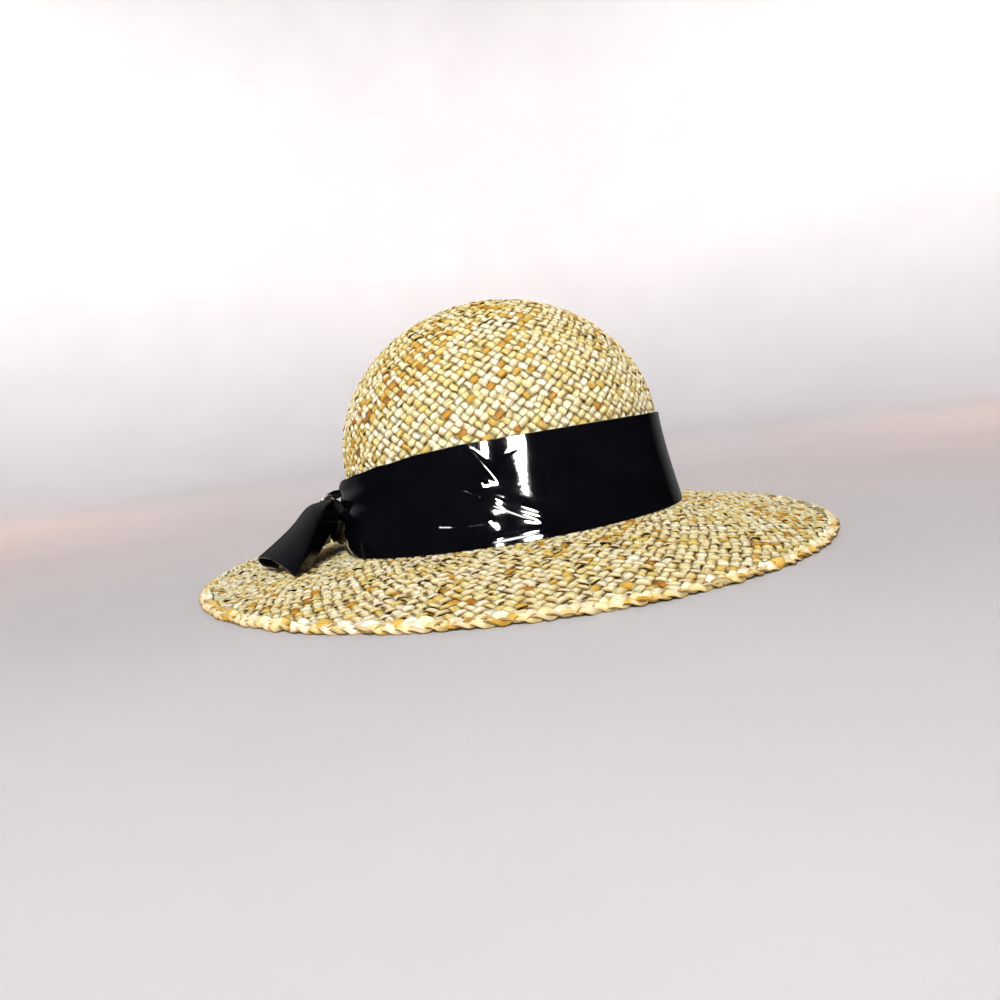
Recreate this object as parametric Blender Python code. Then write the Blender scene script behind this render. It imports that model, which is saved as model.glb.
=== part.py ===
"""A woven straw hat with a rounded crown, a wide drooping brim and a glossy ribbon.

The hat rests on its brim. +X is the front, -X the back where the ribbon is knotted,
+Z is up, and the origin is on the ground under the middle of the brim.
Crown, brim, edging, band, knot and both tails of the ribbon are separate pieces.
"""

import math

import bmesh
import bpy
from mathutils import Matrix, Vector

# Sizes of the straw, in metres
CROWN_LENGTH = 0.196      # outside, at the foot, from back to front
CROWN_WIDTH = 0.1705      # outside, at the foot, from side to side
CROWN_WALL_HEIGHT = 0.0494    # steep wall, from the foot to where the dome begins
CROWN_DOME_HEIGHT = 0.0808    # from the top of the steep wall to the top of the hat
CROWN_DRAW_IN = 0.0066    # how far the wall leans in at its top, at front and back
CROWN_STRAW = 0.0022      # thickness of the woven crown
CROWN_RISE = 0.0111       # from the ground to the middle of the weave at the foot
CROWN_SHIFT_X = 0.0004    # the crown's foot stands this far off the brim's middle
CROWN_SHIFT_Y = 0.0002
CROWN_LEAN_BACK = math.radians(2.70)    # lean towards the knot
CROWN_LEAN_SIDE = math.radians(1.88)    # lean towards +Y

BRIM_LENGTH = 0.3520      # over the edging, from back to front
BRIM_WIDTH = 0.3339       # over the edging, from side to side
BRIM_STRAW = 0.0020       # thickness of the woven brim
BRIM_DROOP = 1.47         # 1 is a straight cone, more bends down nearer the edge
EDGING_WIDTH = 0.0060     # plaited edging round the brim
EDGING_HEIGHT = 0.0042

# Sizes of the ribbon, in metres
BAND_WIDTH = 0.0497       # upright width of the flat stretch round the crown
BAND_WALL = 0.0010
BAND_FOLD = 0.0050        # height of the tallest gather beside the knot
KNOT_PRESS = 0.70         # share of the gathers' height left where the knot presses
KNOT_HEIGHT = 0.0260
KNOT_LENGTH = 0.0330      # along Y
KNOT_DEPTH = 0.0098       # how far the knot stands off the band
KNOT_SIDE = 0.0060        # the knot's middle, off the hat's middle line
KNOT_LIFT = 0.0182        # from the crown's foot to the middle of the knot
TAIL_WALL = 0.0010
TAIL_WIDTH = 0.0530       # full width of the ribbon, at the cut ends
TAIL_SEAT = 0.0008        # from the top of the knot to the middle of a tail that leaves it
TAIL_CURL_REACH = 0.0070  # the curl of a tail's far edge: how far it stands out,
TAIL_CURL_DROP = 0.0024   # half its height,
TAIL_CURL_BACK = 0.0230   # and how far the ribbon runs back under itself

# Clearances between neighbours
GAP = 0.0003
BAND_GAP = 0.0004

# How finely the round forms are divided
AROUND = 72
DOME_ROWS = 9
WALL_ROWS = 3

# Rows of the brim: share of the way from the crown's foot to the edging
BRIM_ROWS = (0.0, 0.22, 0.44, 0.66, 0.85, 1.0)

# Section of the edging: share of its width outwards, share of its height
EDGING_SECTION = (
    (0.00, 0.27),
    (0.43, 0.00),
    (0.87, 0.00),
    (1.00, 0.30),
    (0.88, 0.68),
    (0.50, 0.97),
    (0.00, 1.00),
)

# Edges of the band: degrees round from the knot, rise of the lower edge and
# drop of the upper edge, both as shares of the band's width
BAND_EDGES = (
    (0.0, 0.075, 0.215),
    (8.0, 0.070, 0.200),
    (23.0, 0.025, 0.155),
    (36.0, 0.0, 0.115),
    (50.0, 0.0, 0.070),
    (67.0, 0.0, 0.020),
    (80.0, 0.0, 0.0),
    (180.0, 0.0, 0.0),
)

# Gathers of the band: share of the width where each leaves the knot and where it
# fades out, its half width, its height as a share of BAND_FOLD, degrees it runs
BAND_GATHERS = (
    (0.90, 0.97, 0.130, 0.90, 34.0),
    (0.70, 0.78, 0.085, 0.55, 64.0),
    (0.46, 0.55, 0.085, 1.00, 58.0),
    (0.24, 0.24, 0.080, 0.32, 50.0),
)
GATHER_START = 5.0        # degrees from the knot at which the gathers are full

# Section of the knot along Y: share of its length, share of its height and depth
KNOT_SECTIONS = (
    (-0.50, 0.42, 0.45),
    (-0.42, 0.78, 0.78),
    (-0.20, 0.98, 0.98),
    (0.05, 1.00, 1.00),
    (0.26, 0.94, 0.92),
    (0.42, 0.74, 0.72),
    (0.50, 0.40, 0.42),
)

# A tail's route. Columns: outward (-X) and sideways (+Y) shares of the tail's
# reach and swing, drop as a share of the way down to the brim, width as a share
# of TAIL_WIDTH, turn of the width line from -Y towards +X and its dip, in
# degrees, the arch across the width as a share of the width, and the share of
# the curl under the far edge: half of it turns down, the rest runs back under.
FRONT_TAIL_REACH = 0.0224
FRONT_TAIL_SWING = -0.0448
FRONT_TAIL = (
    (0.00, 0.00, 0.00, 0.43, 12.8, -3.8, 0.03, 0.05),
    (0.165, 0.19, 0.05, 0.54, 21.1, 1.5, 0.04, 0.10),
    (0.30, 0.41, 0.18, 0.61, 25.7, 7.4, 0.05, 0.15),
    (0.50, 0.64, 0.47, 0.71, 29.0, 6.1, 0.06, 0.34),
    (0.72, 0.82, 0.73, 0.82, 34.2, 5.2, 0.05, 0.65),
    (1.00, 1.00, 1.00, 0.92, 37.4, 5.7, 0.04, 1.00),
)
BACK_TAIL_REACH = 0.0130
BACK_TAIL_SWING = -0.0225
BACK_TAIL = (
    (0.00, 0.00, 0.00, 0.39, 0.0, 0.0, 0.00, 0.0),
    (0.25, 0.00, -0.12, 0.44, 0.0, 0.0, 0.02, 0.0),
    (0.62, 0.01, -0.02, 0.47, 0.0, 1.0, 0.03, 0.0),
    (0.76, 0.10, 0.13, 0.55, 0.0, 1.0, 0.03, 0.0),
    (0.80, 0.62, 0.30, 0.92, 0.0, 1.0, 0.03, 0.0),
    (0.86, 0.82, 0.62, 1.08, 0.0, 1.0, 0.03, 0.0),
    (1.00, 1.00, 1.00, 1.18, 0.0, 0.0, 0.03, 0.0),
)
TAIL_STEPS = 12
TAIL_ACROSS = 6
TAIL_CURL_STEPS = 8

# Colours: name, colour, roughness
STRAW_LOOK = ("straw", (0.66, 0.47, 0.21, 1.0), 0.62)
RIBBON_LOOK = ("patent_ribbon", (0.006, 0.006, 0.009, 1.0), 0.12)


# Small helpers

def clear_scene():
    for item in list(bpy.data.objects):
        bpy.data.objects.remove(item, do_unlink=True)


def make_material(look):
    name, colour, roughness = look
    material = bpy.data.materials.get(name) or bpy.data.materials.new(name)
    material.use_nodes = True
    shader = material.node_tree.nodes["Principled BSDF"]
    shader.inputs["Base Color"].default_value = colour
    shader.inputs["Roughness"].default_value = roughness
    shader.inputs["Metallic"].default_value = 0.0
    material.diffuse_color = colour
    return material


def lerp(a, b, share):
    return a + (b - a) * share


def table_row(table, at):
    """The row of a table at the value of its first column, blended between rows."""
    for low, high in zip(table, table[1:]):
        if at <= high[0]:
            share = (at - low[0]) / (high[0] - low[0])
            share = max(0.0, share)
            smooth = share * share * (3.0 - 2.0 * share)
            return [lerp(a, b, smooth) for a, b in zip(low, high)]
    return list(table[-1])


def smooth_rows(table, steps):
    """Rows spread evenly along a table, on a smooth curve through its own rows."""
    rows = []
    last = len(table) - 1
    for step in range(steps + 1):
        place = last * step / steps
        index = min(int(place), last - 1)
        t = place - index
        p0 = table[max(index - 1, 0)]
        p1 = table[index]
        p2 = table[index + 1]
        p3 = table[min(index + 2, last)]
        row = []
        for a, b, c, d in zip(p0, p1, p2, p3):
            bend = (2.0 * a - 5.0 * b + 4.0 * c - d) * t * t
            twist = (3.0 * b - a - 3.0 * c + d) * t * t * t
            row.append(0.5 * (2.0 * b + (c - a) * t + bend + twist))
        rows.append(row)
    return rows


def add_object(name, mesh_builder, look, parent=None):
    """One closed mesh as one named object, with its faces pointing out."""
    bm = bmesh.new()
    mesh_builder(bm)
    bmesh.ops.recalc_face_normals(bm, faces=bm.faces)
    mesh = bpy.data.meshes.new(name)
    bm.to_mesh(mesh)
    bm.free()
    mesh.shade_smooth()
    mesh.set_sharp_from_angle(angle=math.radians(50))
    mesh.materials.append(make_material(look))
    item = bpy.data.objects.new(name, mesh)
    bpy.context.scene.collection.objects.link(item)
    item.parent = parent
    return item


def join_rings(bm, rings):
    """Faces between each ring of vertices and the next, all rings being closed."""
    for ring, following in zip(rings, rings[1:]):
        count = len(ring)
        for i in range(count):
            j = (i + 1) % count
            bm.faces.new((ring[i], ring[j], following[j], following[i]))


def cap_with_point(bm, ring, point):
    tip = bm.verts.new(point)
    count = len(ring)
    for i in range(count):
        bm.faces.new((ring[i], ring[(i + 1) % count], tip))


def turns(count):
    return [2.0 * math.pi * i / count for i in range(count)]


# The crown

def crown_reach(height):
    """Half length of the crown at a height over its foot, as a share of the foot's."""
    draw = CROWN_DRAW_IN / (CROWN_LENGTH / 2)
    if height <= CROWN_WALL_HEIGHT:
        share = max(0.0, height) / CROWN_WALL_HEIGHT
        return 1.0 - draw * (1.0 - (1.0 - share) ** 1.4)
    up = min(1.0, (height - CROWN_WALL_HEIGHT) / CROWN_DOME_HEIGHT)
    return (1.0 - draw) * math.sqrt(1.0 - up * up)


def crown_heights():
    """Heights of the crown's rings, closer together towards the top of the dome."""
    wall = [CROWN_WALL_HEIGHT * i / WALL_ROWS for i in range(WALL_ROWS)]
    dome = []
    for i in range(DOME_ROWS):
        angle = math.radians(90.0 * i / DOME_ROWS)
        dome.append(CROWN_WALL_HEIGHT + CROWN_DOME_HEIGHT * math.sin(angle))
    return wall + dome


def crown_foot_lift():
    return BRIM_STRAW / 2 + GAP


def build_crown(bm):
    """Outer rings up to the top, inner rings down again, each inside by the straw."""
    half_length = CROWN_LENGTH / 2
    half_width = CROWN_WIDTH / 2
    top = CROWN_WALL_HEIGHT + CROWN_DOME_HEIGHT
    shrink = (top - CROWN_STRAW) / top
    foot = crown_foot_lift()
    outer = []
    inner = []
    for height in crown_heights():
        reach = crown_reach(height)
        ring = []
        inner_ring = []
        for angle in turns(AROUND):
            x = reach * math.cos(angle)
            y = reach * math.sin(angle)
            ring.append(bm.verts.new((half_length * x, half_width * y, max(height, foot))))
            inner_x = (half_length - CROWN_STRAW) * x
            inner_y = (half_width - CROWN_STRAW) * y
            inner_ring.append(bm.verts.new((inner_x, inner_y, max(height * shrink, foot))))
        outer.append(ring)
        inner.append(inner_ring)
    join_rings(bm, outer)
    cap_with_point(bm, outer[-1], (0.0, 0.0, top))
    join_rings(bm, inner)
    cap_with_point(bm, inner[-1], (0.0, 0.0, top - CROWN_STRAW))
    join_rings(bm, [outer[0], inner[0]])


# The seat of the crown: its foot plane leans a little against the ground

def seat_matrix():
    axis = Vector((-math.tan(CROWN_LEAN_BACK), math.tan(CROWN_LEAN_SIDE), 1.0))
    turn = Vector((0.0, 0.0, 1.0)).rotation_difference(axis.normalized())
    place = Vector((CROWN_SHIFT_X, CROWN_SHIFT_Y, CROWN_RISE))
    return Matrix.Translation(place) @ turn.to_matrix().to_4x4()


def foot_height(x, y):
    """Height over the ground of the foot plane, at a point seen from above."""
    axis = seat_matrix().to_3x3() @ Vector((0.0, 0.0, 1.0))
    across = axis.x * (x - CROWN_SHIFT_X) + axis.y * (y - CROWN_SHIFT_Y)
    return CROWN_RISE - across / axis.z


# The brim and its edging

def edging_join_height():
    low = EDGING_SECTION[0][1]
    high = EDGING_SECTION[-1][1]
    return EDGING_HEIGHT * (low + high) / 2


def brim_ends():
    """Half length and half width of the woven brim, inside the edging."""
    inset = EDGING_WIDTH + GAP
    return BRIM_LENGTH / 2 - inset, BRIM_WIDTH / 2 - inset


def brim_point(angle, share):
    """Middle of the weave, at a share of the way from the foot to the edging."""
    end_length, end_width = brim_ends()
    along = lerp(CROWN_LENGTH / 2, end_length, share)
    across = lerp(CROWN_WIDTH / 2, end_width, share)
    x = CROWN_SHIFT_X * (1.0 - share) + along * math.cos(angle)
    y = CROWN_SHIFT_Y * (1.0 - share) + across * math.sin(angle)
    foot_x = CROWN_SHIFT_X + CROWN_LENGTH / 2 * math.cos(angle)
    foot_y = CROWN_SHIFT_Y + CROWN_WIDTH / 2 * math.sin(angle)
    start = foot_height(foot_x, foot_y)
    drop = max(0.0, share) ** BRIM_DROOP
    return Vector((x, y, lerp(start, edging_join_height(), drop)))


def brim_top(x, y):
    """Height of the brim's upper face at a point seen from above."""
    end_length, end_width = brim_ends()
    low = 0.0
    high = 1.0
    for _ in range(30):
        share = (low + high) / 2
        along = (x - CROWN_SHIFT_X * (1.0 - share)) / lerp(CROWN_LENGTH / 2, end_length, share)
        across = (y - CROWN_SHIFT_Y * (1.0 - share)) / lerp(CROWN_WIDTH / 2, end_width, share)
        if along * along + across * across > 1.0:
            low = share
        else:
            high = share
    return brim_point(math.atan2(across, along), share).z + BRIM_STRAW / 2


def build_brim(bm):
    """Top rings outwards, bottom rings inwards, closed at the foot and the edge."""
    end_length = brim_ends()[0]
    inner_share = -CROWN_STRAW / (end_length - CROWN_LENGTH / 2)
    rings = []
    for side in (1, -1):
        shares = (inner_share,) + BRIM_ROWS
        for share in shares if side == 1 else reversed(shares):
            lift = Vector((0.0, 0.0, side * BRIM_STRAW / 2))
            ring = [bm.verts.new(brim_point(angle, share) + lift) for angle in turns(AROUND)]
            rings.append(ring)
    join_rings(bm, rings + rings[:1])


def build_edging(bm):
    rings = []
    for out, up in EDGING_SECTION:
        half_length = BRIM_LENGTH / 2 - EDGING_WIDTH * (1.0 - out)
        half_width = BRIM_WIDTH / 2 - EDGING_WIDTH * (1.0 - out)
        ring = []
        for angle in turns(AROUND):
            x = half_length * math.cos(angle)
            y = half_width * math.sin(angle)
            ring.append(bm.verts.new((x, y, EDGING_HEIGHT * up)))
        rings.append(ring)
    join_rings(bm, rings + rings[:1])


# The band

def band_angles():
    """Degrees round from the knot, closer together where the band is gathered."""
    near = list(range(-60, 60, 4))
    far = list(range(60, 300, 6))
    return near + far


def gather_swell(degrees, share):
    """How far a gather stands off the crown at a place on the band."""
    swell = 0.0
    for start, end, half_width, height, run in BAND_GATHERS:
        if degrees >= run:
            continue
        middle = lerp(start, end, degrees / run)
        ridge = math.exp(-((share - middle) / half_width) ** 2)
        fade = (1.0 - degrees / run) ** 1.3
        swell += BAND_FOLD * height * ridge * fade
    return swell * min(1.0, lerp(KNOT_PRESS, 1.0, degrees / GATHER_START))


def band_point(degrees, share, off):
    """A point of the band: off is its distance from the crown, gathers not counted."""
    degrees = (degrees + 180.0) % 360.0 - 180.0
    angle = math.pi + math.radians(degrees)
    _, rise, drop = table_row(BAND_EDGES, abs(degrees))
    bottom = crown_foot_lift() + BAND_WIDTH * rise
    top = crown_foot_lift() + BAND_WIDTH * (1.0 - drop)
    height = lerp(bottom, top, share)
    reach = crown_reach(height)
    x = CROWN_LENGTH / 2 * reach * math.cos(angle)
    y = CROWN_WIDTH / 2 * reach * math.sin(angle)
    normal = Vector((math.cos(angle) / CROWN_LENGTH, math.sin(angle) / CROWN_WIDTH, 0.0))
    off += gather_swell(abs(degrees), share)
    return Vector((x, y, height)) + normal.normalized() * off


def build_band(bm):
    rows = 9
    rings = []
    for off, shares in ((BAND_GAP, range(rows)), (BAND_GAP + BAND_WALL, reversed(range(rows)))):
        for row in shares:
            share = row / (rows - 1)
            ring = [bm.verts.new(band_point(d, share, off)) for d in band_angles()]
            rings.append(ring)
    join_rings(bm, rings + rings[:1])


# The knot and the two tails

def knot_middle():
    """Middle of the knot in the crown's own frame."""
    half_length = CROWN_LENGTH / 2
    share = KNOT_SIDE / (CROWN_WIDTH / 2)
    face = half_length * crown_reach(KNOT_LIFT) * math.sqrt(1.0 - share * share)
    stand_off = BAND_GAP + BAND_WALL + KNOT_PRESS * BAND_FOLD + GAP + KNOT_DEPTH / 2
    return Vector((-face - stand_off, KNOT_SIDE, KNOT_LIFT))


def build_knot(bm):
    sides = 14
    middle = knot_middle()
    rings = []
    for along, height, depth in KNOT_SECTIONS:
        ring = []
        for angle in turns(sides):
            ripple = 1.0 + 0.05 * math.cos(3.0 * angle)
            x = -KNOT_DEPTH / 2 + KNOT_DEPTH * depth * (0.5 - 0.5 * math.cos(angle)) * ripple
            z = KNOT_HEIGHT / 2 * height * math.sin(angle)
            ring.append(bm.verts.new(middle + Vector((-x, KNOT_LENGTH * along, z))))
        rings.append(ring)
    join_rings(bm, rings)
    bm.faces.new(rings[0])
    bm.faces.new(rings[-1])


def curl_place(share):
    """A curl's offset outwards and its drop, at a share of the whole curl."""
    angle = math.pi * min(1.0, 2.0 * share)
    back = max(0.0, 2.0 * share - 1.0)
    reach = TAIL_CURL_REACH * math.sin(angle) - TAIL_CURL_BACK * back
    drop = TAIL_CURL_DROP * (1.0 - math.cos(angle)) * (1.0 - 0.6 * back)
    return reach, drop


def tail_section(middle, width, turn, dip, arch, curl):
    """Points across a tail from its far edge, with the curl, to its near edge."""
    turn = math.radians(turn)
    dip = math.radians(dip)
    flat = math.cos(dip)
    line = Vector((math.sin(turn) * flat, -math.cos(turn) * flat, -math.sin(dip)))
    lift = Vector((-math.cos(turn), -math.sin(turn), 0.0)).cross(line)
    far = middle - line * width / 2
    points = []
    for i in range(TAIL_CURL_STEPS, 0, -1):
        reach, drop = curl_place(curl * i / TAIL_CURL_STEPS)
        points.append(far - lift * drop - line * reach)
    for i in range(TAIL_ACROSS + 1):
        share = 2.0 * i / TAIL_ACROSS - 1.0
        bow = arch * width * (1.0 - share * share)
        points.append(middle + line * share * width / 2 + lift * bow)
    return points


def tail_low(points):
    """How far the middle of a cut end stands over the brim, if it just rests there."""
    clear = min(point.z - brim_top(point.x, point.y) for point in points)
    return TAIL_WALL / 2 + 2 * GAP - clear


def tail_grid(table, root, reach, swing):
    """Middle face of a tail: a list of sections, each a list of points across."""
    end = table[-1]
    tip = root + Vector((-reach, swing, -root.z))
    low = tail_low(tail_section(tip, TAIL_WIDTH * end[3], *end[4:]))
    grid = []
    for out, aside, down, width, turn, dip, arch, curl in smooth_rows(table, TAIL_STEPS):
        middle = root + Vector((-reach * out, swing * aside, (low - root.z) * down))
        width = max(0.01 * TAIL_WIDTH, TAIL_WIDTH * width)
        grid.append(tail_section(middle, width, turn, dip, arch, max(curl, 0.02)))
    return grid


def grid_normal(grid, i, j):
    before = grid[max(i - 1, 0)][j]
    after = grid[min(i + 1, len(grid) - 1)][j]
    left = grid[i][max(j - 1, 0)]
    right = grid[i][min(j + 1, len(grid[0]) - 1)]
    return (after - before).cross(right - left).normalized()


def build_strip(bm, grid):
    """A strip of ribbon: both faces of a grid, half a wall to each side of it."""
    rows = len(grid)
    columns = len(grid[0])
    faces = []
    for side in (1, -1):
        face = []
        for i in range(rows):
            line = []
            for j in range(columns):
                shift = grid_normal(grid, i, j) * side * TAIL_WALL / 2
                line.append(bm.verts.new(grid[i][j] + shift))
            face.append(line)
        faces.append(face)
    upper, lower = faces
    for face in faces:
        for i in range(rows - 1):
            for j in range(columns - 1):
                bm.faces.new((face[i][j], face[i + 1][j], face[i + 1][j + 1], face[i][j + 1]))
    for i in range(rows - 1):
        for j in (0, columns - 1):
            bm.faces.new((upper[i][j], upper[i + 1][j], lower[i + 1][j], lower[i][j]))
    for j in range(columns - 1):
        for i in (0, rows - 1):
            bm.faces.new((upper[i][j], upper[i][j + 1], lower[i][j + 1], lower[i][j]))


def tail_root(aside, inward):
    """Where a tail leaves the knot, just over its top, as a place over the ground."""
    side = aside * KNOT_LENGTH
    top = Vector((inward * KNOT_DEPTH, side, KNOT_HEIGHT / 2 + TAIL_SEAT))
    return seat_matrix() @ (knot_middle() + top)


def build_front_tail(bm):
    grid = tail_grid(FRONT_TAIL, tail_root(-0.35, 0.25), FRONT_TAIL_REACH, FRONT_TAIL_SWING)
    build_strip(bm, grid)


def build_back_tail(bm):
    grid = tail_grid(BACK_TAIL, tail_root(0.43, 0.0), BACK_TAIL_REACH, BACK_TAIL_SWING)
    build_strip(bm, grid)


def main():
    clear_scene()
    seat = bpy.data.objects.new("crown_seat", None)
    bpy.context.scene.collection.objects.link(seat)
    seat.matrix_world = seat_matrix()
    add_object("crown", build_crown, STRAW_LOOK, seat)
    add_object("brim", build_brim, STRAW_LOOK)
    add_object("brim_edging", build_edging, STRAW_LOOK)
    add_object("hatband", build_band, RIBBON_LOOK, seat)
    add_object("knot", build_knot, RIBBON_LOOK, seat)
    add_object("front_tail", build_front_tail, RIBBON_LOOK)
    add_object("back_tail", build_back_tail, RIBBON_LOOK)


main()
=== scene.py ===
# %% [markdown]
# # A woven straw hat with a patent ribbon
# The plain solids of the hat are loaded first and stay where they are. Each later step
# lays a detailed piece over one of them: woven straw for the crown and the brim, a
# plait round the edge, and creased glossy ribbon for the band, the knot and the tails.
# Everything is in metres, with the origin on the ground under the middle of the brim.
# +X is the front of the hat, -X the back where the ribbon is knotted, and +Z is up.

import math

import bmesh
import bpy
import numpy as np
from mathutils import Matrix, Vector


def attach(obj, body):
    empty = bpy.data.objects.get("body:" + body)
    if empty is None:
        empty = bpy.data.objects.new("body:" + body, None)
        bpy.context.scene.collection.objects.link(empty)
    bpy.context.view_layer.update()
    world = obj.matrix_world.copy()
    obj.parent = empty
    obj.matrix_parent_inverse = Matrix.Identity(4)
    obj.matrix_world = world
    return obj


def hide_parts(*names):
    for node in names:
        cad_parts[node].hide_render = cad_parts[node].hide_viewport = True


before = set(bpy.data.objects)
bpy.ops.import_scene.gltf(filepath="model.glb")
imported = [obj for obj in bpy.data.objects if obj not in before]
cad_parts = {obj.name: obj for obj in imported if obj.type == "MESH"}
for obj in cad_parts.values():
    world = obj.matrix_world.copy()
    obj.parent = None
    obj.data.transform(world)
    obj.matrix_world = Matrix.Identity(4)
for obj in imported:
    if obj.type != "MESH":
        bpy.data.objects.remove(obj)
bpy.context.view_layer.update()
print("nodes:", sorted(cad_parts))

# %% [markdown]
# ## Sizes
# The solids were made from these sizes, so the detailed pieces repeat them. They could
# be measured on the solids instead, but a named size says what it is for. The crown is
# close to an oval, 98 by 85 mm from its middle, which is a head of about 57 cm.

# %% Sizes of the straw, in metres
CROWN_LENGTH = 0.196
CROWN_WIDTH = 0.1705
CROWN_WALL_HEIGHT = 0.0494
CROWN_DOME_HEIGHT = 0.0808
CROWN_DRAW_IN = 0.0066  # how far the wall draws in from its foot to the dome
CROWN_DRAW_CURVE = 1.4  # above 1, the wall draws in most near its foot
CROWN_STRAW = 0.0022
CROWN_RISE = 0.0111
CROWN_SHIFT = (0.0004, 0.0002)
CROWN_LEAN_BACK = math.radians(2.70)
CROWN_LEAN_SIDE = math.radians(1.88)
BRIM_LENGTH = 0.3520
BRIM_WIDTH = 0.3339
BRIM_STRAW = 0.0020
BRIM_DROOP = 1.47       # above 1, the brim falls faster towards its edge
EDGING_WIDTH = 0.0060
EDGING_HEIGHT = 0.0042
EDGING_JOIN = 0.635     # where the brim meets its edging, as a share of that height
GAP = 0.0003
FOOT_LIFT = BRIM_STRAW / 2 + GAP
GROUND = 0.0            # nothing of the hat reaches under the floor it rests on
print("crown", CROWN_LENGTH, "x", CROWN_WIDTH, "brim", BRIM_LENGTH, "x", BRIM_WIDTH)


# %% Where the crown sits
def lerp(a, b, share):
    return a + (b - a) * share


def seat_matrix():
    """The crown's own frame: its foot plane leans a little against the ground."""
    axis = Vector((-math.tan(CROWN_LEAN_BACK), math.tan(CROWN_LEAN_SIDE), 1.0))
    turn = Vector((0.0, 0.0, 1.0)).rotation_difference(axis.normalized())
    place = Vector((CROWN_SHIFT[0], CROWN_SHIFT[1], CROWN_RISE))
    return Matrix.Translation(place) @ turn.to_matrix().to_4x4()


SEAT = np.array(seat_matrix())


def seated(points):
    """Points given in the crown's own frame, moved to the hat's place."""
    return points @ SEAT[:3, :3].T + SEAT[:3, 3]


def foot_height(x, y):
    """Height over the ground of the plane that the crown's foot lies in."""
    axis = SEAT[:3, 2]
    across = axis[0] * (x - CROWN_SHIFT[0]) + axis[1] * (y - CROWN_SHIFT[1])
    return CROWN_RISE - across / axis[2]


print("crown seat:", [round(v, 4) for v in SEAT[:3, 3]])


# %% Outline of the crown
def crown_reach(height):
    """How wide the crown is at a height over its foot, as a share of its foot."""
    draw = CROWN_DRAW_IN / (CROWN_LENGTH / 2)
    share = np.clip(height / CROWN_WALL_HEIGHT, 0.0, 1.0)
    wall = 1.0 - draw * (1.0 - (1.0 - share) ** CROWN_DRAW_CURVE)
    up = np.clip((height - CROWN_WALL_HEIGHT) / CROWN_DOME_HEIGHT, 0.0, 1.0)
    return np.where(height <= CROWN_WALL_HEIGHT, wall, (1.0 - draw) * np.sqrt(1.0 - up * up))


print("crown's reach where the dome starts:", round(float(crown_reach(CROWN_WALL_HEIGHT)), 4))

# %% [markdown]
# ## Camera
# The hat is seen from the front of its left side, a little above the brim, with the
# camera rolled by some seven degrees. The camera could be aimed at the hat by a
# constraint, but a roll is then hard to hold, so its place and its three angles are set.

# %% Make the camera
CAMERA_PLACE = (0.00604, -0.41125, 0.07473)
CAMERA_TURN = (83.2488, 6.9772, 0.8268)    # degrees round X, Y and Z
CAMERA_LENS = 25.2      # millimetres, for a sensor as wide as the next line says
SENSOR_WIDTH = 36.0
NEAREST_SEEN = 0.01

camera_data = bpy.data.cameras.new("camera")
camera_data.lens = CAMERA_LENS
camera_data.sensor_width = SENSOR_WIDTH
camera_data.clip_start = NEAREST_SEEN
camera = bpy.data.objects.new("camera", camera_data)
camera.location = CAMERA_PLACE
camera.rotation_euler = [math.radians(angle) for angle in CAMERA_TURN]
bpy.context.scene.collection.objects.link(camera)
bpy.context.scene.camera = camera
print("camera at", CAMERA_PLACE, "lens", CAMERA_LENS)

# %% [markdown]
# ## The weave as a lattice
# The real hat is plaited in one go from the middle of the crown to the edge of the
# brim. Two sets of flat straws run slantwise, one set turning left and one turning
# right, and they pass over and under each other. A picture of a weave could be laid on
# a smooth dome instead, but it would bunch up at the top and look flat from the side,
# so each straw is built as its own thin strip of mesh. First comes the smooth sheet
# that the straws follow: a table of points, row by row from the top to the edge.

# %% Rows down the crown
CELL = 0.0060           # from one crossing to the next along a row of the crown
ROW = 0.00262           # from one row of crossings to the next
BRIM_CELL_GROWTH = 0.20    # the brim's cells grow this much wider towards the edge
BRIM_ROW_GROWTH = 0.02     # and this much longer
DOME_SAMPLES = 400      # heights at which the crown's side is measured, on its dome
WALL_SAMPLES = 200      # and on its wall


def even_crown_heights(rows):
    """Heights over the foot of rows spaced evenly down the crown's side, and its length."""
    turn = np.linspace(math.pi / 2, 0.0, DOME_SAMPLES)
    dome = CROWN_WALL_HEIGHT + CROWN_DOME_HEIGHT * np.sin(turn)
    heights = np.concatenate([dome, np.linspace(CROWN_WALL_HEIGHT, 0.0, WALL_SAMPLES)[1:]])
    radius = (CROWN_LENGTH + CROWN_WIDTH) / 4
    steps = np.hypot(np.diff(heights), radius * np.diff(crown_reach(heights)))
    run = np.concatenate([[0.0], np.cumsum(steps)])
    return np.interp(np.linspace(0.0, run[-1], rows), run, heights), run[-1]


crown_run = even_crown_heights(2)[1]
CROWN_ROWS = round(crown_run / ROW)
brim_run = (BRIM_LENGTH + BRIM_WIDTH - CROWN_LENGTH - CROWN_WIDTH) / 4 - EDGING_WIDTH
BRIM_ROWS = round(brim_run / (ROW * (1.0 + BRIM_ROW_GROWTH / 2)))
print("rows of crossings:", CROWN_ROWS, "on the crown,", BRIM_ROWS, "on the brim")


# %% Rings of the sheet
def crown_ring(angle, height):
    """Middle of the crown's weave at a height over its foot."""
    top = CROWN_WALL_HEIGHT + CROWN_DOME_HEIGHT
    reach = float(crown_reach(np.float64(height)))
    x = (CROWN_LENGTH - CROWN_STRAW) / 2 * reach * np.cos(angle)
    y = (CROWN_WIDTH - CROWN_STRAW) / 2 * reach * np.sin(angle)
    z = np.full_like(angle, height * (top - CROWN_STRAW / 2) / top)
    return seated(np.stack([x, y, z], axis=1))


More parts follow.
